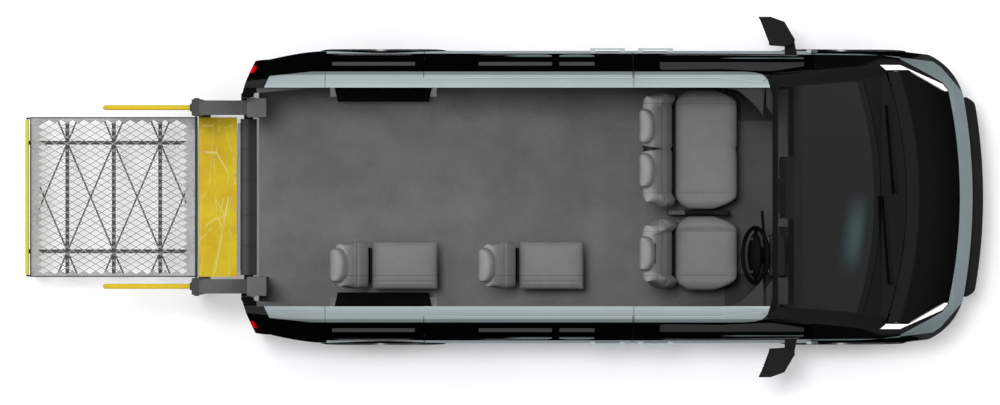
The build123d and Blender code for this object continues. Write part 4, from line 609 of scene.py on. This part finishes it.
# The looks and the families of nodes that have them; a family is the start of a node's name
FAMILIES = {
    "floor_cover": "floor", "under_black": "chassis rear_axle front_suspension", "nose": "front_bumper",
    "body": "body_side sliding_door front_door", "slide_glass": "fixed_side_glass", "hood": "hood",
    "fender": "front_fenders", "trim": "grille firewall seat_bases console mirror", "daylight": "headlamps",
    "lamp_box": "lamp_housings", "pillar": "windscreen_frame", "screen": "windscreen", "dash": "dashboard",
    "soft_black": "wipers steering_column steering_wheel", "seat": "seat_cushions",
    "seat_back": "seat_backs", "headrest": "headrests", "box_black": "wheel_housings",
    "bumper_black": "rear_bumper", "step": "rear_step", "tail_lens": "tail_lamps", "cast": "engine knuckle",
    "black": "arch_flares", "tower_grey": "lift_towers", "door_glass": "door_glass",
    "lift_grey": "lift_upper_arms lift_lower_arms", "lift_dark": "lift_carriage", "mesh": "platform_mesh",
    "rail_yellow": "handrails", "steel_dark": "platform_frame", "yellow_plate": "bridge_plate",
    "stop_yellow": "roll_stop", "rubber": "tyre", "alloy": "rim",
}
NODE_LOOKS = {family: look_name for look_name, names in FAMILIES.items() for family in names.split()}


def node_look(node):
    """The look of the longest family that a node's name starts with."""
    return look(NODE_LOOKS[max((key for key in NODE_LOOKS if node.startswith(key)), key=len)])


for name, node in NODES.items():
    node.data.materials.clear()
    node.data.materials.append(node_look(name))


# Sizes below are in millimetres in the row frame, as in the CAD part, and mm() turns them to metres.

def mm(*values):
    return tuple(v / 1000 for v in values)


def new_object(name, verts, faces, material, smooth=True, body="van"):
    """A mesh object from points in millimetres, which rides on a CAD body."""
    mesh = bpy.data.meshes.new(name)
    mesh.from_pydata([mm(*v) for v in verts], [], faces)
    mesh.update()
    shape = bmesh.new()
    shape.from_mesh(mesh)
    bmesh.ops.recalc_face_normals(shape, faces=shape.faces)
    shape.to_mesh(mesh)
    shape.free()
    for face in mesh.polygons:
        face.use_smooth = smooth
    mesh.materials.append(look(material))
    obj = bpy.data.objects.new(name, mesh)
    bpy.context.collection.objects.link(obj)
    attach(obj, body)
    return obj


def circle(centre, across, up, radius, count):
    """Points of an ellipse round centre, whose half axes are radius times across and up."""
    turns = [2 * math.pi * k / count for k in range(count)]
    return [tuple(centre + (across * math.cos(turn) + up * math.sin(turn)) * radius) for turn in turns]


def wrap(rows, count):
    """Faces over rows of count points each, and one face at either end."""
    faces = [tuple(range(count)), tuple(range((rows - 1) * count, rows * count))]
    for row in range(rows - 1):
        for k in range(count):
            a, b = row * count + k, row * count + (k + 1) % count
            faces.append((a, b, b + count, a + count))
    return faces


class Shape:
    """Gathers simple parts of one look into one mesh."""

    def __init__(self):
        self.verts = []
        self.faces = []

    def add(self, verts, faces):
        start = len(self.verts)
        self.verts += verts
        self.faces += [tuple(start + i for i in face) for face in faces]
        return self

    def prism(self, outline, low, high, place=lambda u, v, w: (u, v, w)):
        """An outline of (u, v) points run from w=low to w=high."""
        n = len(outline)
        verts = [place(u, v, w) for w in (low, high) for u, v in outline]
        sides = [(i, (i + 1) % n, n + (i + 1) % n, n + i) for i in range(n)]
        return self.add(verts, [tuple(range(n)), tuple(range(n, 2 * n)), *sides])

    def box(self, x0, x1, y0, y1, z0, z1):
        return self.prism([(x0, y0), (x1, y0), (x1, y1), (x0, y1)], z0, z1)

    def rounded_box(self, x0, x1, y0, y1, z0, z1, radius, steps=4):
        """A box whose upright edges are rounded."""
        outline = []
        for cx, cy, start in ((x1 - radius, y1 - radius, 0), (x0 + radius, y1 - radius, 90),
                              (x0 + radius, y0 + radius, 180), (x1 - radius, y0 + radius, 270)):
            for i in range(steps + 1):
                a = math.radians(start + 90 * i / steps)
                outline.append((cx + radius * math.cos(a), cy + radius * math.sin(a)))
        return self.prism(outline, z0, z1)

    def lathe(self, centre, axis, profile, count=24):
        """A profile of (distance along the axis, radius) points turned round it, closed at both ends."""
        foot, along = Vector(centre), Vector(axis).normalized()
        side = along.orthogonal().normalized()
        other = along.cross(side)
        verts = [p for rise, radius in profile
                 for p in circle(foot + along * rise, side, other, radius, count)]
        return self.add(verts, wrap(len(profile), count))

    def bolt(self, centre, axis, across, height):
        """A washer with a six-sided head on it, standing on a face."""
        washer, head, chamfer = across * 0.75, across * 0.58, across * 0.48
        self.lathe(centre, axis, [(-1, washer), (1.5, washer)], 20)
        return self.lathe(centre, axis, [(1.5, head), (height - 1, head), (height, chamfer)], 6)

    def make(self, name, material, body="van", smooth=False):
        return new_object(name, self.verts, self.faces, material, smooth, body)


SIDES = (1, -1)
SIDE_NAMES = ((1, "left"), (-1, "right"))
REARWARD, LEFTWARD, UPWARD = (-1, 0, 0), (0, 1, 0), (0, 0, 1)


def smoothstep(low, high, value):
    t = min(max((value - low) / (high - low), 0), 1)
    return t * t * (3 - 2 * t)


def dip(value, centre, width):
    """1 at centre, falling away to 0 over width."""
    return math.exp(-((value - centre) / width) ** 2)


# Soft pieces: closed forms with crowned faces, rounded edges and sewn-in seams

GRID = 56


def pillow(name, place, front, back, power, material):
    """A closed soft form over the square -1..1. front(u, v) and the number back give the distance of its two
    faces from the middle plane before their edges are rounded, and place turns (u, v, distance) into a point
    of the row frame."""
    marks = [math.sin(math.pi / 2 * (2 * i / GRID - 1)) for i in range(GRID + 1)]
    verts, index = [], {}
    for j, v in enumerate(marks):
        for i, u in enumerate(marks):
            edge = i in (0, GRID) or j in (0, GRID)
            index[(0, i, j)] = len(verts)
            round_off = rounding(u, v, power)
            verts.append(place(u, v, 0.0 if edge else round_off * front(u, v)))
            if edge:
                index[(1, i, j)] = index[(0, i, j)]
            else:
                index[(1, i, j)] = len(verts)
                verts.append(place(u, v, -round_off * back))
    faces = [tuple(index[(side, a, b)] for a, b in ((i, j), (i + 1, j), (i + 1, j + 1), (i, j + 1)))
             for side in (0, 1) for i in range(GRID) for j in range(GRID)]
    piece = new_object(name, verts, faces, material)
    return piece


def rounding(u, v, power):
    """0 at the square's edges and 1 over its middle."""
    return ((1 - abs(u) ** power) * (1 - abs(v) ** power)) ** (1 / 2.6)


SEAT_TOP_Z = FLOOR_Z + 400
CUSHION_THICKNESS = 130
BACK_GAP = 2
BACK_FOOT = 60
BACK_HEIGHT = 560
BACK_DEPTH = 115
HEADREST_GAP = 20
HEADREST_HEIGHT = 190
HEADREST_HALF_WIDTH = 119
HEADREST_MIDDLE = -52
POST_PLACE = -55
POST_RADIUS, POST_SIDES = 6, 10
PLAIN_EDGE = 0.97

# seams are shares of the seat's half width, and pads are its headrests' places from its middle
Seat = namedtuple("Seat", "name rear_x front_x right_y left_y recline seams bolstered pads")
SEATS = (
    Seat("driver", 1193, 1625, -648, -134, 13.5, (-0.6, 0.6), True, (0,)),
    Seat("bench", 1193, 1625, -83, 748, 13.5, (-0.735, 0.755), True, (-148, 158)),
    Seat("single_front", 106, 558, -641, -304, 15.5, (-0.7,), False, (0,)),
    Seat("single_rear", -917, -458, -641, -304, 15.5, (-0.7,), False, (0,)),
)


def middle_and_half(seat):
    """The seat's middle along Y and half its width."""
    return (seat.right_y + seat.left_y) / 2, (seat.left_y - seat.right_y) / 2


def bolster_start(seat):
    """Where the raised sides begin, as a share of half the width."""
    return min(abs(s) for s in seat.seams) if seat.bolstered else PLAIN_EDGE


def reclined(seat, x, y, z):
    """A point drawn from the backrest's foot, leant back as in the CAD part."""
    lean = math.radians(seat.recline)
    back = x * math.cos(lean) - z * math.sin(lean)
    rise = x * math.sin(lean) + z * math.cos(lean)
    return seat.rear_x - BACK_GAP + back, y, SEAT_TOP_Z - BACK_FOOT + rise


def cushion(seat):
    """A crowned cushion with sewn seams; a bolstered one curves in and rises at its sides."""
    middle, half = middle_and_half(seat)
    inner = bolster_start(seat)
    bench = seat.name == "bench"
    rear_curve, front_curve = (92, 165) if seat.bolstered else (4, 14)
    seam_width = 0.014 if bench else 0.022
    mid_z = SEAT_TOP_Z - CUSHION_THICKNESS / 2

    def place(u, v, rise):
        out = max((abs(v) - inner) / (1 - inner), 0)
        rear_edge = seat.rear_x + rear_curve * out ** 2.6
        front_edge = seat.front_x - 4 - front_curve * out ** 2.4
        if bench:
            front_edge -= 9 * dip(v, 0, 0.05)
        return rear_edge + (front_edge - rear_edge) * (u + 1) / 2, middle + half * v, mid_z + rise

    def top(u, v):
        crown = 10 * (1 - u * u) * (1 - v * v)
        groove = sum(7 * dip(v, s, seam_width) for s in seat.seams)
        if bench:
            groove += 4 * dip(v, 0.0, 0.02) + 2.5 * dip(v, 0.06, 0.012) + 2.5 * dip(v, -0.06, 0.012)
        if seat.bolstered:
            crown += 15 * smoothstep(inner, inner + 0.16, abs(v))
            crown += 1.2 * math.sin(v * 23 + u * 5) * dip(abs(v), 0.85, 0.1)
        return CUSHION_THICKNESS / 2 - 14 + crown - groove

    piece = pillow(f"{seat.name}_cushion", place, top, CUSHION_THICKNESS / 2 - 2, 7, "seat")
    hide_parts("seat_cushions")


def backrest(seat):
    """A backrest with cross seams; a bolstered one has raised sides and its seams run up it."""
    middle, half = middle_and_half(seat)
    half -= 14 if seat.bolstered else 6
    inner = bolster_start(seat)
    bench = seat.name == "bench"
    taper = 0.2 if seat.bolstered else 0.1
    if bench:
        taper = 0.09
    seam_width = 0.014 if bench else 0.025

    def place(u, v, rise):
        share = (u + 1) / 2
        height = BACK_HEIGHT * share
        narrow = 1 - taper * smoothstep(0.45, 1.0, share)
        if bench:
            height -= 75 * dip(v, 0.012, 0.03) * smoothstep(0.6, 1, share)
        bow = 14 * smoothstep(0.75, 1.0, share)
        return reclined(seat, -BACK_DEPTH / 2 - bow + rise, middle + half * v * narrow, height)

    def face(u, v):
        share = (u + 1) / 2
        crown = 8 * dip(share, 0.35, 0.2)
        groove = 6 * dip(share, 0.55, 0.012) + 6 * dip(share, 0.63, 0.012)
        if seat.bolstered:
            crown += 44 * smoothstep(inner, inner + 0.2, abs(v)) * (1 - 0.5 * smoothstep(0.7, 1, share))
            groove += 20 * dip(share, 0.62, 0.025) * smoothstep(inner, inner + 0.1, abs(v))
            groove += sum(6 * dip(v, s, seam_width) for s in seat.seams)
        if bench:
            groove += 16 * dip(v, 0.012, 0.02)
        return BACK_DEPTH / 2 - 9 + crown - groove

    piece = pillow(f"{seat.name}_backrest", place, face, BACK_DEPTH / 2 - 4, 9, "seat_back")
    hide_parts("seat_backs")


def headrest(seat, number, offset):
    """A headrest on two bright posts."""
    name = f"{seat.name}_{number}_headrest"
    middle = middle_and_half(seat)[0] + offset
    low, high = BACK_HEIGHT + HEADREST_GAP, BACK_HEIGHT + HEADREST_HEIGHT
    depth = 40 if seat.bolstered else 46

    def place(u, v, rise):
        width = HEADREST_HALF_WIDTH * (1 - 0.10 * abs(u) ** 3)
        bow = 12 * v * v
        z = low + (high - low) * (u + 1) / 2
        return reclined(seat, HEADREST_MIDDLE - bow + rise, middle + width * v, z)

    def face(u, v):
        groove = 5 * dip(abs(v), 0.8, 0.03) + 3 * dip(u, 0.55, 0.04)
        return 46 + 6 * (1 - v * v) - groove

    piece = pillow(name, place, face, depth, 4, "headrest")
    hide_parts("headrests")
    posts = Shape()
    for side in SIDES:
        y = middle + side * HEADREST_HALF_WIDTH / 2
        foot, top = [Vector(reclined(seat, POST_PLACE, y, z)) for z in (BACK_HEIGHT - 15, low + 20)]
        posts.lathe(foot, top - foot, [(0, POST_RADIUS), ((top - foot).length, POST_RADIUS)], POST_SIDES)
    posts.make(f"{name}_posts", "bright_steel", smooth=True)


def seats():
    for seat in SEATS:
        cushion(seat)
        backrest(seat)
        for number, offset in enumerate(seat.pads):
            headrest(seat, number, offset)


# Hard details, in millimetres

def bar(shape, start, end, across, width, depth):
    """A flat bar between two points, with its width along across."""
    a, b = Vector(start), Vector(end)
    wide = Vector(across).normalized() * (width / 2)
    thick = (b - a).cross(wide).normalized() * (depth / 2)
    corners = [(-1, -1), (1, -1), (1, 1), (-1, 1)]
    verts = [tuple(p + wide * i + thick * j) for p in (a, b) for i, j in corners]
    return shape.add(verts, wrap(2, len(corners)))


def lens(shape, centre, across, up, front, back, rings=8, count=36):
    """A rounded lens over an ellipse; front and back are the vectors to its two crowns."""
    verts = []
    for i in range(1, 2 * rings):
        angle = math.pi * i / (2 * rings)
        rise = front * math.cos(angle) if i < rings else back * -math.cos(angle)
        verts += circle(centre + rise, across, up, math.sin(angle), count)
    return shape.add(verts, wrap(2 * rings - 1, count))


def slab_y(shape, points, low, high):
    """An outline of (x, z) points run along Y."""
    return shape.prism(points, low, high, lambda u, v, w: (u, w, v))


def highest(node, x, y, reach):
    """The height of a CAD node's top near a point."""
    near = [v.co.z * 1000 for v in NODES[node].data.vertices
            if math.hypot(v.co.x * 1000 - x, v.co.y * 1000 - y) < reach]
    return max(near)


MAT_OUTLINE = ((1540, 530), (1540, 862), (1800, 862), (1955, 850), (1955, 530))


def footwell_mats():
    """Carpet at both sides of the front floor."""
    shape = Shape()
    for side in SIDES:
        shape.prism([(x, side * y) for x, y in MAT_OUTLINE], FLOOR_Z + 1, FLOOR_Z + 6)
    shape.make("footwell_mats", "mat")


# The steering wheel's middle, its normal towards the driver, and the upward direction in its plane
STEERING_CENTRE = Vector((1745, -405, 1105))
STEERING_NORMAL, STEERING_UP = Vector((-0.89879, 0, 0.43837)), Vector((0.43837, 0, 0.89879))
SWITCH_OFFSET, SWITCH_PITCH = 112, 17


def wheel_pad():
    """The wide pad of the steering wheel with its two switch groups."""
    normal, up = STEERING_NORMAL, STEERING_UP
    centre = STEERING_CENTRE - normal * 4
    pad, switches = Shape(), Shape()
    lens(pad, centre, Vector((0, 158, 0)), up * 74, normal * 52, normal * -30)
    for side in SIDES:
        middle = centre + Vector((0, side * SWITCH_OFFSET, 0)) + normal * 34
        for step in (-1, 0, 1):
            lens(switches, middle + up * (step * SWITCH_PITCH), Vector((0, 13, 0)), up * 6, normal * 6,
                 normal * -6, 3, 14)
    pad.make("wheel_pad", "soft_black", "steering_wheel", True)
    switches.make("wheel_switches", "switch", "steering_wheel", True)


# Outlines as (x, z) points, and the places along Y that they fill
DASH_PAD = ((1901, 1012), (1906, 1020), (1966, 1060), (1974, 1056), (1968, 1036), (1905, 1004))
DASH_PAD_SPANS = ((278, 750), (-745, -560), (-205, -150))
DASH_STRIP = ((1976, 1052), (1978, 1062), (2012, 1074), (2014, 1066), (1990, 1042))
DASH_STRIP_SPANS = ((278, 762), (-745, -152))


def dash_panels():
    """Pads and strips along the dashboard's rear edge, below the windscreen."""
    for name, material, outline, spans in (("dash_pads", "dash_pale", DASH_PAD, DASH_PAD_SPANS),
                                           ("dash_strip", "soft_black", DASH_STRIP, DASH_STRIP_SPANS)):
        shape = Shape()
        for y0, y1 in spans:
            slab_y(shape, outline, y0, y1)
        shape.make(name, material)


DIAL_PANEL = ((-534, 978), (-276, 978), (-284, 1094), (-526, 1094))
DIAL_FACE_X = 1832
DIALS_Y, DIAL_Z = (-470, -340), 1036
TICKS, TICK_START, TICK_STEP = 11, -30, 24
TICK_INNER, TICK_OUTER = 33, 39


def instruments():
    """Two plain dials in the binnacle, each with a ring, a hub and a hand."""
    panel, rings, hands = Shape(), Shape(), Shape()
    panel.prism(DIAL_PANEL, DIAL_FACE_X, DIAL_FACE_X + 7, lambda u, v, w: (w, u, v))
    for y in DIALS_Y:
        rings.lathe((DIAL_FACE_X, y, DIAL_Z), REARWARD, [(0, 49), (5, 49), (5, 44), (1, 43.5), (1, 42)], 40)
        hands.lathe((DIAL_FACE_X - 1, y, DIAL_Z), REARWARD, [(0, 7), (5, 6)], 16)
        bar(hands, (DIAL_FACE_X - 4, y, DIAL_Z), (DIAL_FACE_X - 4, y - 24, DIAL_Z + 22), (0, 1, 1), 3, 1.5)
        for tick in range(TICKS):
            angle = math.radians(TICK_START + TICK_STEP * tick)
            u, v = math.cos(angle), math.sin(angle)
            start, end = [(DIAL_FACE_X - 1.5, y + u * r, DIAL_Z + v * r) for r in (TICK_INNER, TICK_OUTER)]
            bar(hands, start, end, (0, -v, u), 2, 1)
    panel.make("instrument_panel", "black")
    rings.make("dial_rings", "bright_steel")
    hands.make("dial_marks", "dial_white")


KNOBS_Y = (-70, 10, 90)
VENTS_Y, VENT_HALF_WIDTH = (-690, -200, 205, 690), 58
SLATS_Z, SLAT_HALF_LENGTH = (952, 964, 976, 988), 50


def centre_stack():
    """Blank screen, knobs, air vents and glovebox lid on the dashboard's rear face."""
    frames, screen, controls = Shape(), Shape(), Shape()
    frames.box(1905, 1950, -112, 132, 922, 1052)
    screen.box(1902, 1906, -100, 120, 934, 1042)
    for y in KNOBS_Y:
        controls.lathe((1926, y, 876), REARWARD, [(-8, 21), (10, 20), (13, 17)], 28)
    for y in VENTS_Y:
        frames.box(1914, 1945, y - VENT_HALF_WIDTH, y + VENT_HALF_WIDTH, 942, 1000)
        for z in SLATS_Z:
            start, end = [(1912, y + side * SLAT_HALF_LENGTH, z) for side in (-1, 1)]
            bar(controls, start, end, (0.4, 0, 1), 7, 1.6)
    frames.box(1914, 1940, 330, 720, 830, 902)
    bar(controls, (1911, 500, 888), (1911, 550, 888), UPWARD, 12, 5)
    frames.make("dash_frames", "trim")
    screen.make("dash_screen", "black")
    controls.make("dash_controls", "switch")


# Each pedal's place along Y and the width of its pad
PEDALS = ((-330, 44), (-405, 62), (-490, 62))


def pedals():
    """Three hanging pedals, each an arm with a pad at its end."""
    shape = Shape()
    for y, wide in PEDALS:
        bar(shape, (1965, y, 800), (1908, y, 672), LEFTWARD, 14, 8)
        bar(shape, (1910, y, 715), (1896, y, 640), LEFTWARD, wide, 12)
    shape.make("pedals", "under_black")


def console_trim():
    """The console's lid and the two bright strips beside its lever."""
    lid, strips = Shape(), Shape()
    lid.rounded_box(1143, 1257, -123, -94, 806, 813, 6)
    for y in (-104.5, -116.5):
        strips.box(1264, 1405, y, y + 3, 878, 884)
    lid.make("console_lid", "dash_pale")
    strips.make("console_strips", "pale_grey")


def belts():
    """Seat belts behind the outer front seats: guide, strap and reel."""
    strap, ends = Shape(), Shape()
    for side in SIDES:
        bar(strap, (948, side * 822, 1440), (1006, side * 800, 660), (1, 0, 0), 46, 2.5)
        ends.box(915, 985, side * 818 - 12, side * 818 + 22, 1420, 1470)
        ends.rounded_box(972, 1040, side * 800 - 30, side * 800 + 30, FLOOR_Z, FLOOR_Z + 110, 10)
    strap.make("belt_straps", "belt")
    ends.make("belt_hardware", "trim")


NUTS, NUT_CIRCLE = 5, 49
HUB_CAP = ((0, 29), (13, 29.5), (19, 26), (21, 18))
VALVE = ((0, 4), (26, 3.5))
CALIPER = ((88, -60), (158, -46), (170, 0), (158, 46), (88, 60), (72, 0))
CALIPER_HALF_WIDTH = 24
DISC_Y = {"front": 843, "rear": 801}


def wheel_trim():
    """Nuts, centre caps and valves on the wheels, and calipers over the brake discs."""
    for axle_x, end in ((FRONT_AXLE_X, "front"), (REAR_AXLE_X, "rear")):
        for side, word in SIDE_NAMES:
            nuts, caliper = Shape(), Shape()
            out = (0, side, 0)
            face_y = side * (WHEEL_Y + 52)
            for index in range(NUTS):
                angle = 2 * math.pi * index / NUTS
                x, z = axle_x + NUT_CIRCLE * math.sin(angle), WHEEL_Z + NUT_CIRCLE * math.cos(angle)
                nuts.bolt((x, face_y, z), out, 19, 13)
            nuts.lathe((axle_x, face_y - side * 12, WHEEL_Z), out, HUB_CAP, 32)
            nuts.lathe((axle_x, side * (WHEEL_Y + 72), WHEEL_Z + 196), (0, side, 0.3), VALVE, 10)
            nuts.make(f"wheel_nuts_{end}_{word}", "bright_steel", f"wheel_{end}_{word}")
            y0, y1 = sorted(side * (DISC_Y[end] + CALIPER_HALF_WIDTH * edge) for edge in SIDES)
            slab_y(caliper, [(axle_x - u, WHEEL_Z + v) for u, v in CALIPER], y0, y1)
            caliper.make(f"caliper_{end}_{word}", "cast", f"knuckle_{word}" if end == "front" else "van")


MIRROR_INNER_END, MIRROR_OUTER_END = Vector((1845, 1053)), Vector((1769, 1251))
MIRROR_EDGE = 16


def mirror_faces():
    """The glass of the two door mirrors, on the slanted rear faces of their heads."""
    along = (MIRROR_INNER_END - MIRROR_OUTER_END).normalized()
    out = Vector((along.y, -along.x))
    a, b = MIRROR_OUTER_END + along * MIRROR_EDGE, MIRROR_INNER_END - along * MIRROR_EDGE
    corners = [a + out * 0.4, b + out * 0.4, b + out * 3, a + out * 3]
    for side, word in SIDE_NAMES:
        shape = Shape()
        shape.prism([(p.x, side * p.y) for p in corners], 1021, 1189)
        shape.make(f"mirror_face_{word}", "mirror_glass", f"front_door_{word}")


WIPER_PIVOTS = ((2695, -590), (2725, 40))


def wiper_caps():
    """Caps on the wipers' pivots, each with the root of its arm."""
    shape = Shape()
    for x, y in WIPER_PIVOTS:
        top = highest("wipers", x, y, 30)
        shape.lathe((x, y, top - 6), UPWARD, [(0, 13), (8, 13), (12, 9)], 20)
        bar(shape, (x, y, top + 2), (x - 5, y + 70, top + 6), (1, 0, 0), 22, 9)
    shape.make("wiper_caps", "soft_black")


def front_plate():
    """A blank plate in its holder on the grille."""
    holder, plate = Shape(), Shape()
    holder.box(3310, 3338, -265, 265, 318, 438)
    plate.box(3337, 3340, -258, 258, 324, 432)
    holder.make("plate_holder", "trim")
    plate.make("blank_plate", "dial_white")


SEAL_HALF_WIDTH, SEAL_STEPS = 760, 40
GRILLE_HALF_WIDTH, GRILLE_STEPS = 695, 60
CHEEK_INNER_Y, CHEEK_WIDTH, CHEEK_STEPS = 645, 50, 8


def evenly(low, high, steps):
    """Places from low to high, with steps equal gaps between them."""
    return [low + (high - low) * i / steps for i in range(steps + 1)]


def hood_seal():
    """The dark seal below the gap between the hood and the cowl."""
    shape = Shape()
    rear = [(2794 - 102 * (y / 754) ** 2, y) for y in evenly(-SEAL_HALF_WIDTH, SEAL_HALF_WIDTH, SEAL_STEPS)]
    shape.prism([(x - 28, y) for x, y in rear] + [(x + 32, y) for x, y in reversed(rear)], 1076, 1084)
    shape.make("hood_seal", "trim")


def grille_edge(y):
    """How far forward the grille's rounded top reaches at y."""
    return 3339 - 0.0001337 * y * y - 0.0165 * max(0, abs(y) - 640) ** 2


def grille_top():
    """The black shelf between the painted nose and the grille, with cheeks at its ends."""
    shape = Shape()
    ys = evenly(-GRILLE_HALF_WIDTH, GRILLE_HALF_WIDTH, GRILLE_STEPS)
    shape.prism([(grille_edge(y), y) for y in ys] + [(3150, ys[-1]), (3150, ys[0])], 672, 693)
    for side in SIDES:
        ends = [side * y for y in evenly(CHEEK_INNER_Y, CHEEK_INNER_Y + CHEEK_WIDTH, CHEEK_STEPS)]
        shape.prism([(grille_edge(y), y) for y in ends] + [(3165, ends[-1]), (3165, ends[0])], 300, 680)
    shape.make("grille_top", "trim")


ARM_PINS_Z, RAIL_COLLARS_Z, CARRIAGE_PINS_Z = (1280, 1080), (1500, 1220), (1525, 1325)
CROSS_BEARERS_X, LONG_BEARERS_Y = (-3046, -2722, -2398), (-379, 379)
FLANGE_HALF_WIDTH = 14
FLANGE_Z = (551, 554.7)


def lift_hardware():
    """Pin heads at the arms' pivots, rail collars and the wide flanges of the deck's bearers."""
    heads, collars, flanges = Shape(), Shape(), Shape()
    for side in SIDES:
        for z in ARM_PINS_Z:
            heads.bolt((-1745, side * 684, z), (0, side, 0), 30, 9)
        for z in RAIL_COLLARS_Z:
            collars.lathe((-2160, side * 619, z), REARWARD, [(-2, 27), (10, 27), (14, 22)], 24)
        for z in CARRIAGE_PINS_Z:
            collars.bolt((-2128, side * 676, z), (0, side, 0), 30, 9)
    for x in CROSS_BEARERS_X:
        flanges.box(x - FLANGE_HALF_WIDTH, x + FLANGE_HALF_WIDTH, -548, 548, *FLANGE_Z)
    for y in LONG_BEARERS_Y:
        flanges.box(-3325, -2162, y - FLANGE_HALF_WIDTH, y + FLANGE_HALF_WIDTH, *FLANGE_Z)
    heads.make("tower_pins", "bright_steel")
    collars.make("rail_collars", "steel_dark", "lift_carriage")
    flanges.make("bearer_flanges", "steel_dark", "platform")


def corner_pads():
    """Grey pads on the bumper's ends beside the lift arms."""
    shape = Shape()
    for side in SIDES:
        y0, y1 = sorted((side * 690, side * 728))
        shape.rounded_box(-1826, -1800, y0, y1, 528, 534, 6)
    shape.make("bumper_pads", "pale_grey")


for build in (seats, footwell_mats, wheel_pad, dash_panels, instruments, centre_stack, pedals, console_trim,
              belts, wheel_trim, mirror_faces, wiper_caps, front_plate, hood_seal, grille_top,
              lift_hardware, corner_pads):
    build()


# Floor, light and camera

BACKDROP_SIZE = 90
SHADOW_REACH = 0.6
BACKDROP_GLOW = 0.4
SKY_LIGHT, SKY_SEEN = 0.3, 1.0
SHOWS_BACKGROUND = ("Is Camera Ray", "Is Glossy Ray", "Is Transmission Ray")


def seen(tree):
    """1 where the camera sees a surface straight, in a reflection or through glass."""
    path = tree.nodes.new("ShaderNodeLightPath")
    total = path.outputs[SHOWS_BACKGROUND[0]]
    for name in SHOWS_BACKGROUND[1:]:
        largest = tree.nodes.new("ShaderNodeMath")
        largest.operation = "MAXIMUM"
        tree.links.new(total, largest.inputs[0])
        tree.links.new(path.outputs[name], largest.inputs[1])
        total = largest.outputs[0]
    return total


def backdrop():
    """A white floor that keeps the object's soft shadow."""
    n = Nodes("backdrop")
    near = n.add("ShaderNodeAmbientOcclusion")
    near.inputs["Distance"].default_value = SHADOW_REACH
    open_sky = n.math("POWER", near.outputs["AO"], 2.0)
    n.surface((236, 236, 238), 0.95, 0.0,
              Emission_Color=(255, 255, 255),
              Emission_Strength=both(n, seen(n.material.node_tree), open_sky, BACKDROP_GLOW))
    bpy.ops.mesh.primitive_plane_add(size=BACKDROP_SIZE, location=(0, 0, 0))
    plane = bpy.context.object
    plane.name = "backdrop_floor"
    plane.data.materials.append(n.material)


def sky():
    """White where it is seen, and a soft grey light elsewhere."""
    world = bpy.data.worlds.new("studio")
    bpy.context.scene.world = world
    world.use_nodes = True
    tree = world.node_tree
    background = tree.nodes["Background"]
    background.inputs["Color"].default_value = (1, 1, 1, 1)
    level = tree.nodes.new("ShaderNodeMapRange")
    tree.links.new(seen(tree), level.inputs["Value"])
    level.inputs["To Min"].default_value = SKY_LIGHT
    level.inputs["To Max"].default_value = SKY_SEEN
    tree.links.new(level.outputs["Result"], background.inputs["Strength"])


# Name, direction, spread in degrees and strength of each sun
SUNS = (
    ("key", (0.09, -0.09, -1.0), 11, 1.6),
    ("side", (0.35, -0.45, -1.0), 25, 0.4),
    ("ahead", (-0.85, -0.1, -0.5), 50, 0.7),
)


def sun(name, direction, spread, strength):
    data = bpy.data.lights.new(name, "SUN")
    data.angle = math.radians(spread)
    data.energy = strength
    lamp = bpy.data.objects.new(name, data)
    lamp.rotation_euler = Vector(direction).to_track_quat("-Z", "Y").to_euler()
    bpy.context.collection.objects.link(lamp)


PHOTO_WIDTH, PHOTO_HEIGHT = 1000, 405
METRES_PER_PIXEL = 0.00695
ORIGIN_PIXEL = (504, 197)
LENS = 600.0
SENSOR = 36.0
FOCUS_HEIGHT = 1.0
FAR = 5000


def camera():
    """Straight above the van, far off, with its front to the right."""
    data = bpy.data.cameras.new("camera")
    view = bpy.data.objects.new("camera", data)
    bpy.context.collection.objects.link(view)
    data.lens = LENS
    data.sensor_width = SENSOR
    data.clip_end = FAR
    view.location = (
        (PHOTO_WIDTH / 2 - ORIGIN_PIXEL[0]) * METRES_PER_PIXEL,
        (ORIGIN_PIXEL[1] - PHOTO_HEIGHT / 2) * METRES_PER_PIXEL,
        FOCUS_HEIGHT + PHOTO_WIDTH * METRES_PER_PIXEL * LENS / SENSOR,
    )
    bpy.context.scene.camera = view


backdrop()
sky()
for values in SUNS:
    sun(*values)
camera()
bpy.context.scene.view_settings.view_transform = "Standard"
